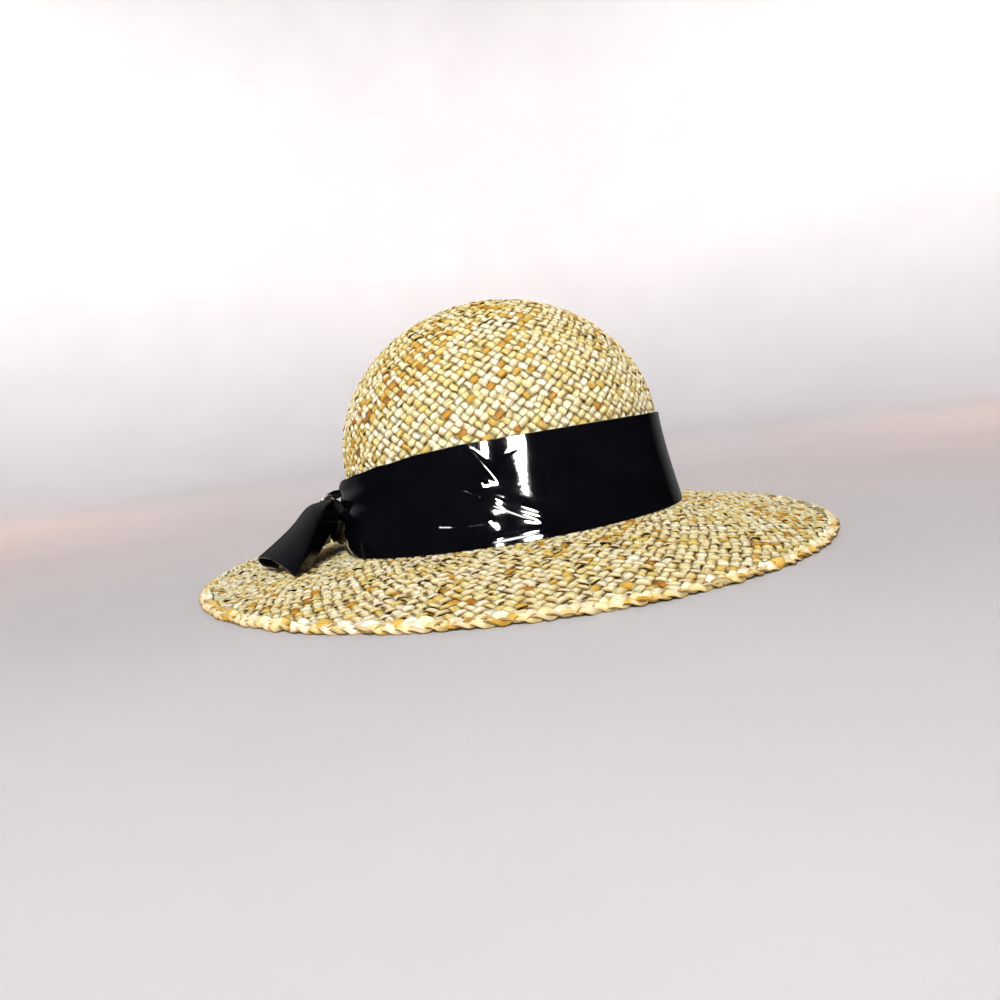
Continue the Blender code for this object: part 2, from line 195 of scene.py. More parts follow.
def brim_ring(angle, share):
    """Middle of the brim's weave, at a share of the way from foot to edging."""
    inset = EDGING_WIDTH + GAP
    along = lerp(CROWN_LENGTH / 2, BRIM_LENGTH / 2 - inset, share)
    across = lerp(CROWN_WIDTH / 2, BRIM_WIDTH / 2 - inset, share)
    x = CROWN_SHIFT[0] * (1.0 - share) + along * np.cos(angle)
    y = CROWN_SHIFT[1] * (1.0 - share) + across * np.sin(angle)
    foot_x = CROWN_SHIFT[0] + CROWN_LENGTH / 2 * np.cos(angle)
    foot_y = CROWN_SHIFT[1] + CROWN_WIDTH / 2 * np.sin(angle)
    start = foot_height(foot_x, foot_y)
    drop = max(0.0, share) ** BRIM_DROOP
    return np.stack([x, y, lerp(start, EDGING_HEIGHT * EDGING_JOIN, drop)], axis=1)


STEPS_PER_ROW = 4
SHEET_TURNS = 360       # points round each ring
BRIM_TUCK = 1           # rows that run on under the plaited edge


def make_sheet():
    """Points of the sheet, several steps to each row of crossings."""
    angle = np.linspace(0.0, 2.0 * math.pi, SHEET_TURNS, endpoint=False)
    heights = even_crown_heights(CROWN_ROWS * STEPS_PER_ROW + 1)[0]
    rings = [crown_ring(angle, height) for height in heights]
    first = -CROWN_STRAW / 2 / (BRIM_LENGTH / 2 - EDGING_WIDTH - GAP - CROWN_LENGTH / 2)
    for step in range(1, (BRIM_ROWS + BRIM_TUCK + 1) * STEPS_PER_ROW + 1):
        place = step / (BRIM_ROWS * STEPS_PER_ROW)
        grown = (place + BRIM_ROW_GROWTH / 2 * place * place) / (1.0 + BRIM_ROW_GROWTH / 2)
        rings.append(brim_ring(angle, first + (1.0 - first) * grown))
    return np.array(rings)


plain_sheet = make_sheet()
print("rings of the sheet:", len(plain_sheet), "points in each:", SHEET_TURNS)

# %% The sheet and its directions
CORNER_REACH = 5        # steps each way over which the crown curves into the brim
SHEET_SINK = 0.0004     # the weave is thick, so its middle lies a little inside


def round_the_corner(sheet, at, reach):
    """The crown meets the brim in a small curve, not in a sharp line."""
    softened = sheet.copy()
    for i in range(at - reach, at + reach + 1):
        spread = reach - abs(i - at) + 1
        softened[i] = sheet[i - spread:i + spread + 1].mean(axis=0)
    return softened


def unit(vectors):
    """The same directions, each with a length of one."""
    return vectors / np.linalg.norm(vectors, axis=-1, keepdims=True)


def sheet_normals(sheet):
    """Outward direction at every point of the sheet."""
    down = np.gradient(sheet, axis=0)
    around = np.roll(sheet, -1, axis=1) - np.roll(sheet, 1, axis=1)
    normals = np.cross(down, around)
    normals[0] = SEAT[:3, 2]
    return unit(normals)


sheet_points = round_the_corner(plain_sheet, CROWN_ROWS * STEPS_PER_ROW, CORNER_REACH)
sheet_outward = sheet_normals(sheet_points)
sheet_points -= sheet_outward * SHEET_SINK
sheet_down = np.gradient(sheet_points, axis=0)
print("top of the sheet:", round(float(sheet_points[:, :, 2].max()), 4))


# %% Reading the sheet
def read_table(table, row, angle):
    """Value of a table of rings at a row number and an angle, blended between points."""
    place = np.clip(row * STEPS_PER_ROW, 0.0, len(table) - 1.001)
    turn = np.mod(angle / (2.0 * math.pi), 1.0) * SHEET_TURNS
    i = place.astype(int)
    j = turn.astype(int) % SHEET_TURNS
    j_next = (j + 1) % SHEET_TURNS
    v = (place - i)[:, None]
    u = (turn - np.floor(turn))[:, None]
    upper = table[i, j] * (1.0 - u) + table[i, j_next] * u
    lower = table[i + 1, j] * (1.0 - u) + table[i + 1, j_next] * u
    return upper * (1.0 - v) + lower * v


def read_sheet(row, angle):
    """Points of the sheet, and the outward direction at each."""
    return read_table(sheet_points, row, angle), unit(read_table(sheet_outward, row, angle))


front_foot = read_sheet(np.array([float(CROWN_ROWS)]), np.zeros(1))[0]
print("foot of the crown at the front:", front_foot.round(4).tolist())

# %% [markdown]
# ## Where the straws cross
# A round of crossings needs more straws the wider it is. A plaiter lays new straws in
# as the hat grows, and so does this step: each row puts a crossing between every two of
# the row above, and where the gap has grown too wide it puts in two, from which a new
# straw starts each way. A lattice with a fixed number of straws would be simpler, but
# its cells would be tiny at the top and huge at the edge.

# %% How a row follows from the row above
lattice_draw = np.random.default_rng(11)
GAP_CHOICE = (0.75, 1.25)    # chance in which gaps count as the widest


def crossings_wanted(row):
    """How many crossings fit round a row."""
    ring = sheet_points[row * STEPS_PER_ROW]
    length = np.linalg.norm(ring - np.roll(ring, 1, axis=0), axis=1).sum()
    into_brim = max(0.0, (row - CROWN_ROWS) / BRIM_ROWS)
    return round(length / (CELL * (1.0 + BRIM_CELL_GROWTH * into_brim)))


def next_row(angles, wanted):
    """Angles of the row below, and the straw that comes to each crossing from above."""
    count = len(angles)
    gaps = np.diff(np.append(angles, angles[0] + 2.0 * math.pi))
    extra = max(0, min(wanted - count, count))
    order = np.argsort(-gaps * lattice_draw.uniform(*GAP_CHOICE, count))
    doubled = set(order[:extra].tolist())
    new_angles, from_left, from_right = [], [], []
    for i in range(count):
        right = (i + 1) % count
        if i in doubled:
            new_angles += [angles[i] + gaps[i] / 3.0, angles[i] + gaps[i] * 2.0 / 3.0]
            from_left += [i, -1]
            from_right += [-1, right]
        else:
            new_angles.append(angles[i] + gaps[i] / 2.0)
            from_left.append(i)
            from_right.append(right)
    return np.array(new_angles), from_left, from_right


def relax(angles, pull=0.5):
    """Each crossing moves towards the middle of its two neighbours."""
    before = np.roll(angles, 1)
    before[0] -= 2.0 * math.pi
    after = np.roll(angles, -1)
    after[-1] += 2.0 * math.pi
    return angles * (1.0 - pull) + (before + after) / 2.0 * pull


print("crossings wanted at the foot of the crown:", crossings_wanted(CROWN_ROWS))

# %% All rows of crossings
FIRST_ROW = 2
FIRST_COUNT = 7
STRAY_ALONG = 0.14      # how far crossings stray, in rows
STRAY_ASIDE = 0.11      # and sideways, in cells


def stray_by(spread, count):
    """Chance shifts of a usual size, none more than twice as large."""
    return lattice_draw.normal(0.0, spread, count).clip(-2.0 * spread, 2.0 * spread)


def stray(row, angles):
    """Crossings of a row as (row, place, angle), each a little off its even place."""
    count = len(angles)
    places = row + stray_by(STRAY_ALONG, count)
    strayed = angles + stray_by(STRAY_ASIDE, count) * 2.0 * math.pi / count
    return list(zip([row] * count, places, strayed))


def make_lattice():
    """All straws: lists of crossings, first of those turning right, then left."""
    angles = np.arange(FIRST_COUNT) * 2.0 * math.pi / FIRST_COUNT
    nodes = stray(FIRST_ROW, angles)
    running = [[[node] for node in nodes], [[node] for node in nodes]]
    finished = [list(running[0]), list(running[1])]
    crossings = FIRST_COUNT
    for row in range(FIRST_ROW + 1, CROWN_ROWS + BRIM_ROWS + BRIM_TUCK):
        angles, from_left, from_right = next_row(angles, crossings_wanted(row))
        angles = relax(relax(angles))
        crossings += len(angles)
        nodes = stray(row, angles)
        for way, parents in ((0, from_left), (1, from_right)):
            current = []
            for parent, node in zip(parents, nodes):
                if parent >= 0:
                    straw = running[way][parent]
                else:
                    straw = []
                    finished[way].append(straw)
                straw.append(node)
                current.append(straw)
            running[way] = current
    return finished, crossings


straws, crossing_count = make_lattice()
print("crossings:", crossing_count, "straws each way:", [len(way) for way in straws])

# %% [markdown]
# ## One straw
# Each straw is a flat strip with a low crest, like a blade of palm leaf. It rides up
# over one straw and dives under the next, and it spreads a little where it dives. A
# curve with a bevel could draw each one, but its section keeps one shape all along, so
# the strips are made from plain tables of numbers: three sections to each crossing.
# The strips also carry a few values for their material to read: how dark the blade is,
# how deep a point lies in the weave, and where it is on the blade. From the last two
# the material paints shade into the colour: deep in the weave, at a blade's rims and
# along its downhill side.

# %% How dark a blade is
straw_draw = np.random.default_rng(23)
TONE_USUAL = 0.22       # 0 is the palest straw and 1 the darkest
TONE_SPREAD = 0.07      # from blade to blade
AGED_CHANCE = 0.08      # one blade in twelve is an older leaf
AGED_TONE = 0.25
DRIFT_SPREAD = 0.16     # slow changes along a blade
DRIFT_REACH = 7         # in crossings
DRIFT_SHARE = 0.45
SPOT_CHANCE = 0.10      # short dark stretches
SPOT_TONE = (0.2, 0.6)
FINE_SPREAD = 0.09      # from crossing to crossing


def blade_tones(count):
    """Darkness of a blade along its length: mostly pale, now and then tan or brown."""
    blade = straw_draw.normal(TONE_USUAL, TONE_SPREAD)
    if straw_draw.random() < AGED_CHANCE:
        blade += AGED_TONE
    steps = straw_draw.normal(0.0, DRIFT_SPREAD, count + DRIFT_REACH - 1)
    drift = np.convolve(steps, np.ones(DRIFT_REACH) / DRIFT_REACH ** 0.5, "valid")
    spotted = straw_draw.random(count) < SPOT_CHANCE
    spots = np.where(spotted, straw_draw.uniform(*SPOT_TONE, count), 0.0)
    fine = straw_draw.normal(0.0, FINE_SPREAD, count)
    return np.clip(blade + drift * DRIFT_SHARE + spots + fine, 0.0, 1.0)


print("usual darkness of a blade:", TONE_USUAL, "share of older leaves:", AGED_CHANCE)

# %% Sections of one straw
RIDE = 0.00065          # how far a straw rises over, or dives under, the sheet
RIDE_SPREAD = 0.14      # how unevenly it does so, as a share of that
UNDER_WIDTH = 1.42      # how much wider a blade spreads where it dives
WIDTH_SPREAD = 0.10
LEAN_SPREAD = 0.17      # how much blades lean to one side, as a slope
CREST_SKEW = 0.60       # how far off its middle a crest may lie, in half widths
TOUCH = (-0.39, 0.0, 0.39)    # sections of each passage, as shares of a row
END_DROP = 0.40         # how much lower a passage is at its ends
END_TAPER = 0.10        # and how much narrower
END_DEPTH = 0.22        # how shaded a blade already is there


def follow(at, rows, values):
    """Values along a straw at places between its crossings, and a bit past its ends."""
    found = np.interp(at, rows, values)
    low = at < rows[0]
    high = at > rows[-1]
    found[low] = values[0] + (at[low] - rows[0]) * (values[1] - values[0])
    found[high] = values[-1] + (at[high] - rows[-1]) * (values[-1] - values[-2])
    return found


def straw_sections(straw, way):
    """Sections of one straw, three to each crossing that it passes."""
    row, place, angle = (list(column) for column in zip(*straw))
    if len(row) == 1:   # laid in at the last row: it runs on under the plaited edge
        row, place, angle = row + [row[0] + 1], place + [place[0] + 1.0], angle * 2
    rows = np.array(row)
    count = len(rows)
    over = (rows + way) % 2 == 0
    lift = np.where(over, RIDE, -RIDE) * straw_draw.normal(1.0, RIDE_SPREAD, count)
    width = np.where(over, 1.0, UNDER_WIDTH) * straw_draw.normal(1.0, WIDTH_SPREAD, count)
    tone = blade_tones(count)
    lean = straw_draw.normal(0.0, LEAN_SPREAD, count)
    skew = straw_draw.uniform(-CREST_SKEW, CREST_SKEW, count)
    steps = np.array(TOUCH)
    off_middle = np.abs(steps / TOUCH[-1])
    at = (rows[:, None] + steps).ravel()
    return {
        "row": follow(at, rows, np.array(place)),
        "angle": follow(at, rows, np.unwrap(angle)),
        "lift": (lift[:, None] * (1.0 - END_DROP * off_middle ** 2)).ravel(),
        "width": (width[:, None] * (1.0 - END_TAPER * off_middle ** 2)).ravel(),
        "tone": np.repeat(tone, len(steps)),
        "deep": np.where(over[:, None], END_DEPTH * off_middle, 1.0).ravel(),
        "lean": np.repeat(lean, len(steps)),
        "skew": np.repeat(skew, len(steps)),
    }


print("sections to each crossing:", len(TOUCH))

# %% All straws, with their starts tucked under
START_REACH = 1.05      # how far a straw that is laid in reaches under, in rows
START_DEPTH = 1.0       # and how shaded it starts
CENTRE_REACH = 1.50     # how far the first straws reach towards the crown's centre
# how much painted shade the first straws' hidden starts get
CENTRE_DEPTH = 0.35


def tuck_start(sections, rows_early, deep):
    """A straw starts some rows early, hidden under the others."""
    run = sections["row"][2] - sections["row"][0]
    turn = sections["angle"][2] - sections["angle"][0]
    reach = rows_early / (2.0 * TOUCH[-1])
    first = {
        "row": sections["row"][0] - run * reach,
        "angle": sections["angle"][0] - turn * reach,
        "lift": -RIDE,
        "deep": deep,
    }
    return {name: np.concatenate([[first.get(name, values[0])], values])
            for name, values in sections.items()}


def lay_straw(straw, way):
    """Sections of a straw from its hidden start to its end."""
    sections = straw_sections(straw, way)
    if straw[0][0] == FIRST_ROW:
        return tuck_start(sections, CENTRE_REACH, CENTRE_DEPTH)
    return tuck_start(sections, START_REACH, START_DEPTH)


straw_runs = [[lay_straw(straw, way) for straw in straws[way]] for way in (0, 1)]
print("sections:", [sum(len(run["row"]) for run in way) for way in straw_runs])


# %% Straws of one piece, end to end
def split_at_foot(sections, crown_part):
    """The sections of a straw that belong to the crown, or to the brim."""
    below = np.searchsorted(sections["row"], CROWN_ROWS)
    keep = slice(0, below + 1) if crown_part else slice(below, None)
    return {name: values[keep] for name, values in sections.items()}


def joined_straws(way, crown_part):
    """Sections of all the straws that turn one way, end to end, and the straw of each."""
    parts = [split_at_foot(run, crown_part) for run in straw_runs[way]]
    parts = [part for part in parts if len(part["row"]) > 1]
    joined = {key: np.concatenate([part[key] for part in parts]) for key in parts[0]}
    owner = np.concatenate([np.full(len(part["row"]), i) for i, part in enumerate(parts)])
    return joined, owner


print("sections on the brim:", [len(joined_straws(way, False)[1]) for way in (0, 1)])

# %% Points and faces of the straws
CREST = 0.00075         # height of the crest over the blade's edges
BLADE_SHARE = 1.02      # blade width as a share of the room between its neighbours


def straw_directions(centre, linked):
    """Which way each straw runs at its sections."""
    moves = (centre[1:] - centre[:-1])[linked]
    step = np.zeros_like(centre)
    step[:-1][linked] += moves
    step[1:][linked] += moves
    return unit(step)


def half_widths(row, width):
    """Half of a blade's width, which fills the room between its neighbours."""
    into_brim = np.clip((row - CROWN_ROWS) / BRIM_ROWS, 0.0, 1.0)
    cell = CELL * (1.0 + BRIM_CELL_GROWTH * into_brim)
    tall = 2.0 * ROW * (1.0 + BRIM_ROW_GROWTH * into_brim)
    return (cell * tall / np.hypot(cell, tall) * BLADE_SHARE / 2 * width)[:, None]


def straw_points(run, centre, normal, side, half):
    """Left edge, crest and right edge of every section, in that order."""
    raised = centre + normal * run["lift"][:, None]
    tilt = normal * (run["lean"][:, None] * half)
    left = raised - side * half - tilt
    right = raised + side * half + tilt
    crest = raised + normal * CREST + side * half * run["skew"][:, None]
    points = np.stack([left, crest, right], axis=1).reshape(-1, 3)
    points[:, 2] = points[:, 2].clip(GROUND)
    return points


def straw_faces(linked):
    """Three long faces for each stretch of a straw, and a cap at each of its ends."""
    at = 3 * np.nonzero(linked)[0]
    quads = [np.stack([at + a, at + b, at + 3 + b, at + 3 + a], axis=1)
             for a, b in ((0, 1), (1, 2), (2, 0))]
    ends = np.concatenate([[True], ~linked, [True]])
    caps = [(i, i + 2, i + 1) for i in 3 * np.nonzero(ends[:-1])[0]]
    caps += [(i, i + 1, i + 2) for i in 3 * np.nonzero(ends[1:])[0]]
    return np.concatenate(quads).tolist() + caps


usual_width = 2.0 * float(half_widths(np.zeros(1), np.ones(1))[0, 0])
print("usual width of a blade on the crown:", round(usual_width, 5))

# %% From points to one mesh
CREST_SHADE = 0.30      # painted shade of the crest, between 0 uphill and 1 downhill
BLADE_SEED = 0.013      # sets the fibres of one blade apart from those of the next


def write_value(mesh, name, values):
    mesh.attributes.new(name, "FLOAT", "POINT").data.foreach_set("value", values)


def write_place(mesh, across, along, seed):
    """Where a point is on its blade, in metres, with a seed for each blade."""
    place = mesh.attributes.new("blade_place", "FLOAT_VECTOR", "POINT")
    place.data.foreach_set("vector", np.stack([across, along, seed], axis=1).ravel())


def add_piece(name, mesh, material):
    """An object with one mesh and one material, placed in the scene."""
    mesh.materials.append(material)
    piece = bpy.data.objects.new(name, mesh)
    bpy.context.scene.collection.objects.link(piece)
    return piece


def weave_mesh(name, way, crown_part, material):
    """One mesh of all the straws that turn one way, on the crown or on the brim."""
    run, owner = joined_straws(way, crown_part)
    linked = owner[1:] == owner[:-1]
    centre, normal = read_sheet(run["row"], run["angle"])
    side = unit(np.cross(normal, straw_directions(centre, linked)))
    half = half_widths(run["row"], run["width"])
    points = straw_points(run, centre, normal, side, half)
    mesh = bpy.data.meshes.new(name)
    mesh.from_pydata(points.tolist(), [], straw_faces(linked))
    mesh.shade_flat()
    # painted shade: each blade's downhill side is darker, as if lit from above
    downhill = (side * read_table(sheet_down, run["row"], run["angle"])).sum(axis=1) > 0
    shade = np.stack([~downhill, np.full(len(owner), CREST_SHADE), downhill], axis=1)
    write_value(mesh, "tone", np.repeat(run["tone"], 3))
    write_value(mesh, "deep", np.repeat(run["deep"], 3))
    write_value(mesh, "rim", np.tile([1.0, 0.0, 1.0], len(owner)))
    write_value(mesh, "shade", shade.ravel())
    steps = np.linalg.norm(np.diff(centre, axis=0), axis=1)
    along = np.repeat(np.concatenate([[0.0], np.cumsum(steps)]), 3)
    across = np.stack([-half[:, 0], np.zeros(len(owner)), half[:, 0]], axis=1).ravel()
    write_place(mesh, across, along, np.repeat(owner * BLADE_SEED, 3))
    print(name, "triangles:", sum(len(face.vertices) - 2 for face in mesh.polygons))
    return add_piece(name, mesh, material)


# %% [markdown]
# ## Straw as a material
# Palm straw is cream where it is fresh and tan to orange-brown where the leaf aged. A
# blade has fine fibres along it. Shade is painted into its colour too: a thin dark line
# at its rims, a darker downhill side, and painted shade where it dives into the weave.
# A noise in the hat's own space would run across blades of every direction, so the
# fibres are drawn from the place on the blade that each strip carries. They are used
# twice, fine for the grain and coarse for the splits of the leaf, so they are a node
# group with named inputs. The group only gives values: the shader stays outside.

# %% Helpers for node trees
def new_group(name, inputs, outputs):
    """An empty node group with its named sockets."""
    group = bpy.data.node_groups.new(name, "ShaderNodeTree")
    for label, kind, value in inputs:
        socket = group.interface.new_socket(label, in_out="INPUT", socket_type=kind)
        if value is not None:
            socket.default_value = value
    for label in outputs:
        group.interface.new_socket(label, in_out="OUTPUT", socket_type="NodeSocketFloat")
    return group, group.nodes.new("NodeGroupInput"), group.nodes.new("NodeGroupOutput")


def feed(tree, value, socket):
    """Gives a socket a number, a colour or the output of another node."""
    if isinstance(value, (int, float)):
        socket.default_value = value
    elif isinstance(value, tuple):
        socket.default_value = (*value, 1.0)
    else:
        tree.links.new(value, socket)


def add_math(tree, operation, a, b):
    node = tree.nodes.new("ShaderNodeMath")
    node.operation = operation
    feed(tree, a, node.inputs[0])
    feed(tree, b, node.inputs[1])
    return node.outputs[0]


def add_noise(tree, vector, scale, detail, rough):
    node = tree.nodes.new("ShaderNodeTexNoise")
    node.inputs["Scale"].default_value = scale
    node.inputs["Detail"].default_value = detail
    node.inputs["Roughness"].default_value = rough
    tree.links.new(vector, node.inputs["Vector"])
    return node.outputs["Fac"]


def grey(value):
    return (value, value, value)


def add_ramp(tree, value, stops):
    """A colour ramp from (place, colour) stops; returns its colour output."""
    node = tree.nodes.new("ShaderNodeValToRGB")
    ramp = node.color_ramp
    while len(ramp.elements) < len(stops):
        ramp.elements.new(0.5)
    for element, (place, colour) in zip(ramp.elements, stops):
        element.position = place
        element.color = (*colour, 1.0)
    tree.links.new(value, node.inputs["Fac"])
    return node.outputs["Color"]


def add_mix(tree, share, first, second, blend="MIX"):
    """Mix of two colours; share, first and second are sockets or plain values."""
    node = tree.nodes.new("ShaderNodeMix")
    node.data_type = "RGBA"
    node.blend_type = blend
    for index, value in ((0, share), (6, first), (7, second)):
        feed(tree, value, node.inputs[index])
    return node.outputs[2]


# %% Helpers for materials
def read_attribute(tree, name, output="Fac"):
    node = tree.nodes.new("ShaderNodeAttribute")
    node.attribute_name = name
    return node.outputs[output]


def new_material(name, **plain):
    """A material with one Principled shader, its plain values set on its sockets."""
    material = bpy.data.materials.new(name)
    material.use_nodes = True
    shader = material.node_tree.nodes["Principled BSDF"]
    for label, value in plain.items():
        shader.inputs[label.replace("_", " ")].default_value = value
    return material, material.node_tree, shader


def add_bump(tree, shader, height, strength, distance):
    """Relief from a height, which the shader reads as its normal."""
    bump = tree.nodes.new("ShaderNodeBump")
    bump.inputs["Strength"].default_value = strength
    bump.inputs["Distance"].default_value = distance
    tree.links.new(height, bump.inputs["Height"])
    tree.links.new(bump.outputs["Normal"], shader.inputs["Normal"])


def place_group(tree, group, place, **values):
    """One use of a node group, with the place it reads and its own values."""
    node = tree.nodes.new("ShaderNodeGroup")
    node.node_tree = group
    tree.links.new(place, node.inputs["Place"])
    for label, value in values.items():
        node.inputs[label.replace("_", " ")].default_value = value
    return node.outputs


# %% The fibre group
FIBRE_NOISE = (1.0, 3.0, 0.6)    # scale, detail and roughness; the place is stretched already
FIBRE_CONTRAST = 2.0


def make_fibre_group():
    """Fine lines along a blade, from its place on the blade in metres."""
    inputs = [
        ("Place", "NodeSocketVector", None),
        ("Lines per metre", "NodeSocketFloat", 4500.0),
        ("Length share", "NodeSocketFloat", 0.05),
    ]
    group, start, end = new_group("straw_fibres", inputs, ["Height", "Mask"])
    lines = start.outputs["Lines per metre"]
    long = add_math(group, "MULTIPLY", lines, start.outputs["Length share"])
    join = group.nodes.new("ShaderNodeCombineXYZ")
    for value, axis in ((lines, "X"), (long, "Y"), (lines, "Z")):
        group.links.new(value, join.inputs[axis])
    stretch = group.nodes.new("ShaderNodeVectorMath")
    stretch.operation = "MULTIPLY"
    group.links.new(start.outputs["Place"], stretch.inputs[0])
    group.links.new(join.outputs["Vector"], stretch.inputs[1])
    height = add_noise(group, stretch.outputs["Vector"], *FIBRE_NOISE)
    group.links.new(height, end.inputs["Height"])
    group.links.new(add_math(group, "POWER", height, FIBRE_CONTRAST), end.inputs["Mask"])
    return group


fibre_group = make_fibre_group()
print("group:", fibre_group.name, "nodes:", len(fibre_group.nodes))

# %% Colours of straw
STRAW_STOPS = (
    (0.00, (0.91, 0.94, 0.80)),
    (0.28, (0.84, 0.84, 0.53)),
    (0.50, (0.74, 0.63, 0.23)),
    (0.68, (0.63, 0.37, 0.08)),
    (0.86, (0.46, 0.22, 0.06)),
    (1.00, (0.28, 0.13, 0.05)),
)
STRAW_SHADED = (0.60, 0.31, 0.02)     # painted shade along the downhill edge of a blade
STRAW_SPLIT = (0.42, 0.20, 0.02)      # in the splits of the leaf
STRAW_GAP_SHADE = (0.10, 0.052, 0.003)      # painted shadow at the rims of a blade, and painted shade deep in the weave
SPLIT_STOPS = ((0.54, grey(0.0)), (0.66, grey(0.55)))
GRAIN_SHARE = 0.18      # how much the fibres darken the leaf
GRAIN_MIDDLE = 0.05     # taken off again, so that the grain makes it no darker as a whole
SHADE_CURVE = 1.5
SHADE_SHARE = 0.70
RIM_CURVE = 3.4         # high, so that only a thin line of painted shadow darkens
# how strong the painted shade deep in the weave is
DEEP_SHARE = 0.62


def straw_colour(tree, fibres, splits):
    """Colour of the leaf from its tone, with shade painted in by the place of a point on its blade: at
    its rims, on its downhill side and deep in the weave.
    """
    grain = add_math(tree, "MULTIPLY", fibres["Mask"], GRAIN_SHARE)
    tone = add_math(tree, "ADD", read_attribute(tree, "tone"), grain)
    leaf = add_ramp(tree, add_math(tree, "SUBTRACT", tone, GRAIN_MIDDLE), STRAW_STOPS)
    shade = add_math(tree, "POWER", read_attribute(tree, "shade"), SHADE_CURVE)
    leaf = add_mix(tree, add_math(tree, "MULTIPLY", shade, SHADE_SHARE), leaf, STRAW_SHADED)
    leaf = add_mix(tree, add_ramp(tree, splits["Height"], SPLIT_STOPS), leaf, STRAW_SPLIT)
    rim = add_math(tree, "POWER", read_attribute(tree, "rim"), RIM_CURVE)
    leaf = add_mix(tree, rim, leaf, STRAW_GAP_SHADE)
    deep = add_math(tree, "MULTIPLY", read_attribute(tree, "deep"), DEEP_SHARE)
    return add_mix(tree, deep, leaf, STRAW_GAP_SHADE)


print("colours of the leaf, from pale to dark:", len(STRAW_STOPS))

# %% The straw material
STRAW_FIBRES = 4500.0   # lines per metre across a blade
STRAW_SPLITS = 1700.0
STRAW_ROUGHNESS = ((0.3, grey(0.36)), (0.7, grey(0.60)))
STRAW_RELIEF = (0.5, 0.00012)    # strength and height of the fibres


def make_straw(name):
    material, tree, shader = new_material(name, Specular_IOR_Level=0.16)
    place = read_attribute(tree, "blade_place", "Vector")
    fibres = place_group(tree, fibre_group, place, Lines_per_metre=STRAW_FIBRES)
    splits = place_group(tree, fibre_group, place, Lines_per_metre=STRAW_SPLITS)
    tree.links.new(straw_colour(tree, fibres, splits), shader.inputs["Base Color"])
    rough = add_ramp(tree, fibres["Height"], STRAW_ROUGHNESS)
    tree.links.new(rough, shader.inputs["Roughness"])
    add_bump(tree, shader, fibres["Height"], *STRAW_RELIEF)
    return material


straw_look = make_straw("woven_straw")
print("material:", straw_look.name, "nodes:", len(straw_look.node_tree.nodes))

# %% [markdown]
# ## Crown and brim
# The crown and the brim are one weave, but they stand for two solids, so it is cut at
# the crown's foot. The straws that turn right and those that turn left make a mesh
# each, so that no mesh grows too large. All four ride on the hat's one body.

# %% Weave the crown and the brim
for crown_part, node in ((True, "crown"), (False, "brim")):
    for way, word in ((0, "right"), (1, "left")):
        piece = weave_mesh(f"{node}_straws_{word}", way, crown_part, straw_look)
        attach(piece, "root")
        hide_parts(node)

# %% [markdown]
# ## Plaited edge
# The ends of the straws are turned back and plaited into a rim. A ring with a bumpy
# material would do from afar, but its outline would stay smooth, so the plait is real:
# three strips that swing from side to side, a third of a turn apart, and rise over each
# other twice as often as they swing.

# %% Path of the plait
PLAIT_STRANDS = 3
PLAIT_TURNS = 64        # swings of a strip on its way round the brim
PLAIT_STEPS = 16        # sections to each swing
PLAIT_COUNT = PLAIT_TURNS * PLAIT_STEPS
PLAIT_SWING = 0.0015
PLAIT_RISE = 0.00090
PLAIT_TILT = math.radians(20.0)    # the plait leans outwards with the brim
PLAIT_LIFT = 0.0001


def plait_phase(strand):
    """Where a strip is in its swing at each section, in radians."""
    start = strand * 2.0 * math.pi / PLAIT_STRANDS
    return np.arange(PLAIT_COUNT) * 2.0 * math.pi / PLAIT_STEPS + start


def plait_line(strand):
    """Centre line of one strip of the plait, with its upward direction."""
    angle = np.arange(PLAIT_COUNT) * 2.0 * math.pi / PLAIT_COUNT
    outward = unit(np.stack([np.cos(angle) / BRIM_LENGTH, np.sin(angle) / BRIM_WIDTH], axis=1))
    outward = np.concatenate([outward, np.zeros((PLAIT_COUNT, 1))], axis=1)
    up = np.array([0.0, 0.0, math.cos(PLAIT_TILT)]) + outward * math.sin(PLAIT_TILT)
    out = outward * math.cos(PLAIT_TILT) - np.array([0.0, 0.0, math.sin(PLAIT_TILT)])
    x = (BRIM_LENGTH / 2 - EDGING_WIDTH / 2) * np.cos(angle)
    y = (BRIM_WIDTH / 2 - EDGING_WIDTH / 2) * np.sin(angle)
    middle = np.stack([x, y, np.full(PLAIT_COUNT, EDGING_HEIGHT / 2 + PLAIT_LIFT)], axis=1)
    phase = plait_phase(strand)
    swing = PLAIT_SWING * np.sin(phase)[:, None]
    rise = PLAIT_RISE * np.sin(2.0 * phase)[:, None]
    return middle + out * swing + up * rise, up


print("plait sections:", PLAIT_STRANDS * PLAIT_COUNT)

# %% Strips of the plait
plait_draw = np.random.default_rng(5)
PLAIT_SIDES = 8
PLAIT_HALF_WIDTH = 0.00205
PLAIT_HALF_THICK = 0.00062
PLAIT_FLATNESS = 0.8    # below 1, a strip's section is fuller than an oval
PLAIT_BULGE = 0.20      # how unevenly thick a strip is
PLAIT_TWIST = 0.42      # how far a strip rolls, in radians
PLAIT_TONES = (0.0, 0.05, 0.1, 0.15, 0.2, 0.3, 0.3, 0.6)
PLAIT_DEPTH = 0.8       # how shaded a strip is where it dives
PLAIT_RIM = 4           # high, so that the painted shade darkens only the edges of a strip
STRAND_SEED = 0.37      # sets the fibres of one strip apart from those of the next


def stretch_draws(draws):
    """Chance values spread evenly over a strip's sections."""
    return np.repeat(draws, PLAIT_COUNT // len(draws))


def evened(values):
    """Each value becomes the mean of itself and the three before it."""
    return (values + np.roll(values, 1) + np.roll(values, 2) + np.roll(values, 3)) / 4


def strip_frame(centre, up, twist):
    """Directions across a strip and out of its face."""
    ahead = unit(np.roll(centre, -1, axis=0) - np.roll(centre, 1, axis=0))
    across = unit(np.cross(up, ahead))
    lift = np.cross(ahead, across)
    cos, sin = np.cos(twist)[:, None], np.sin(twist)[:, None]
    return across * cos + lift * sin, lift * cos - across * sin


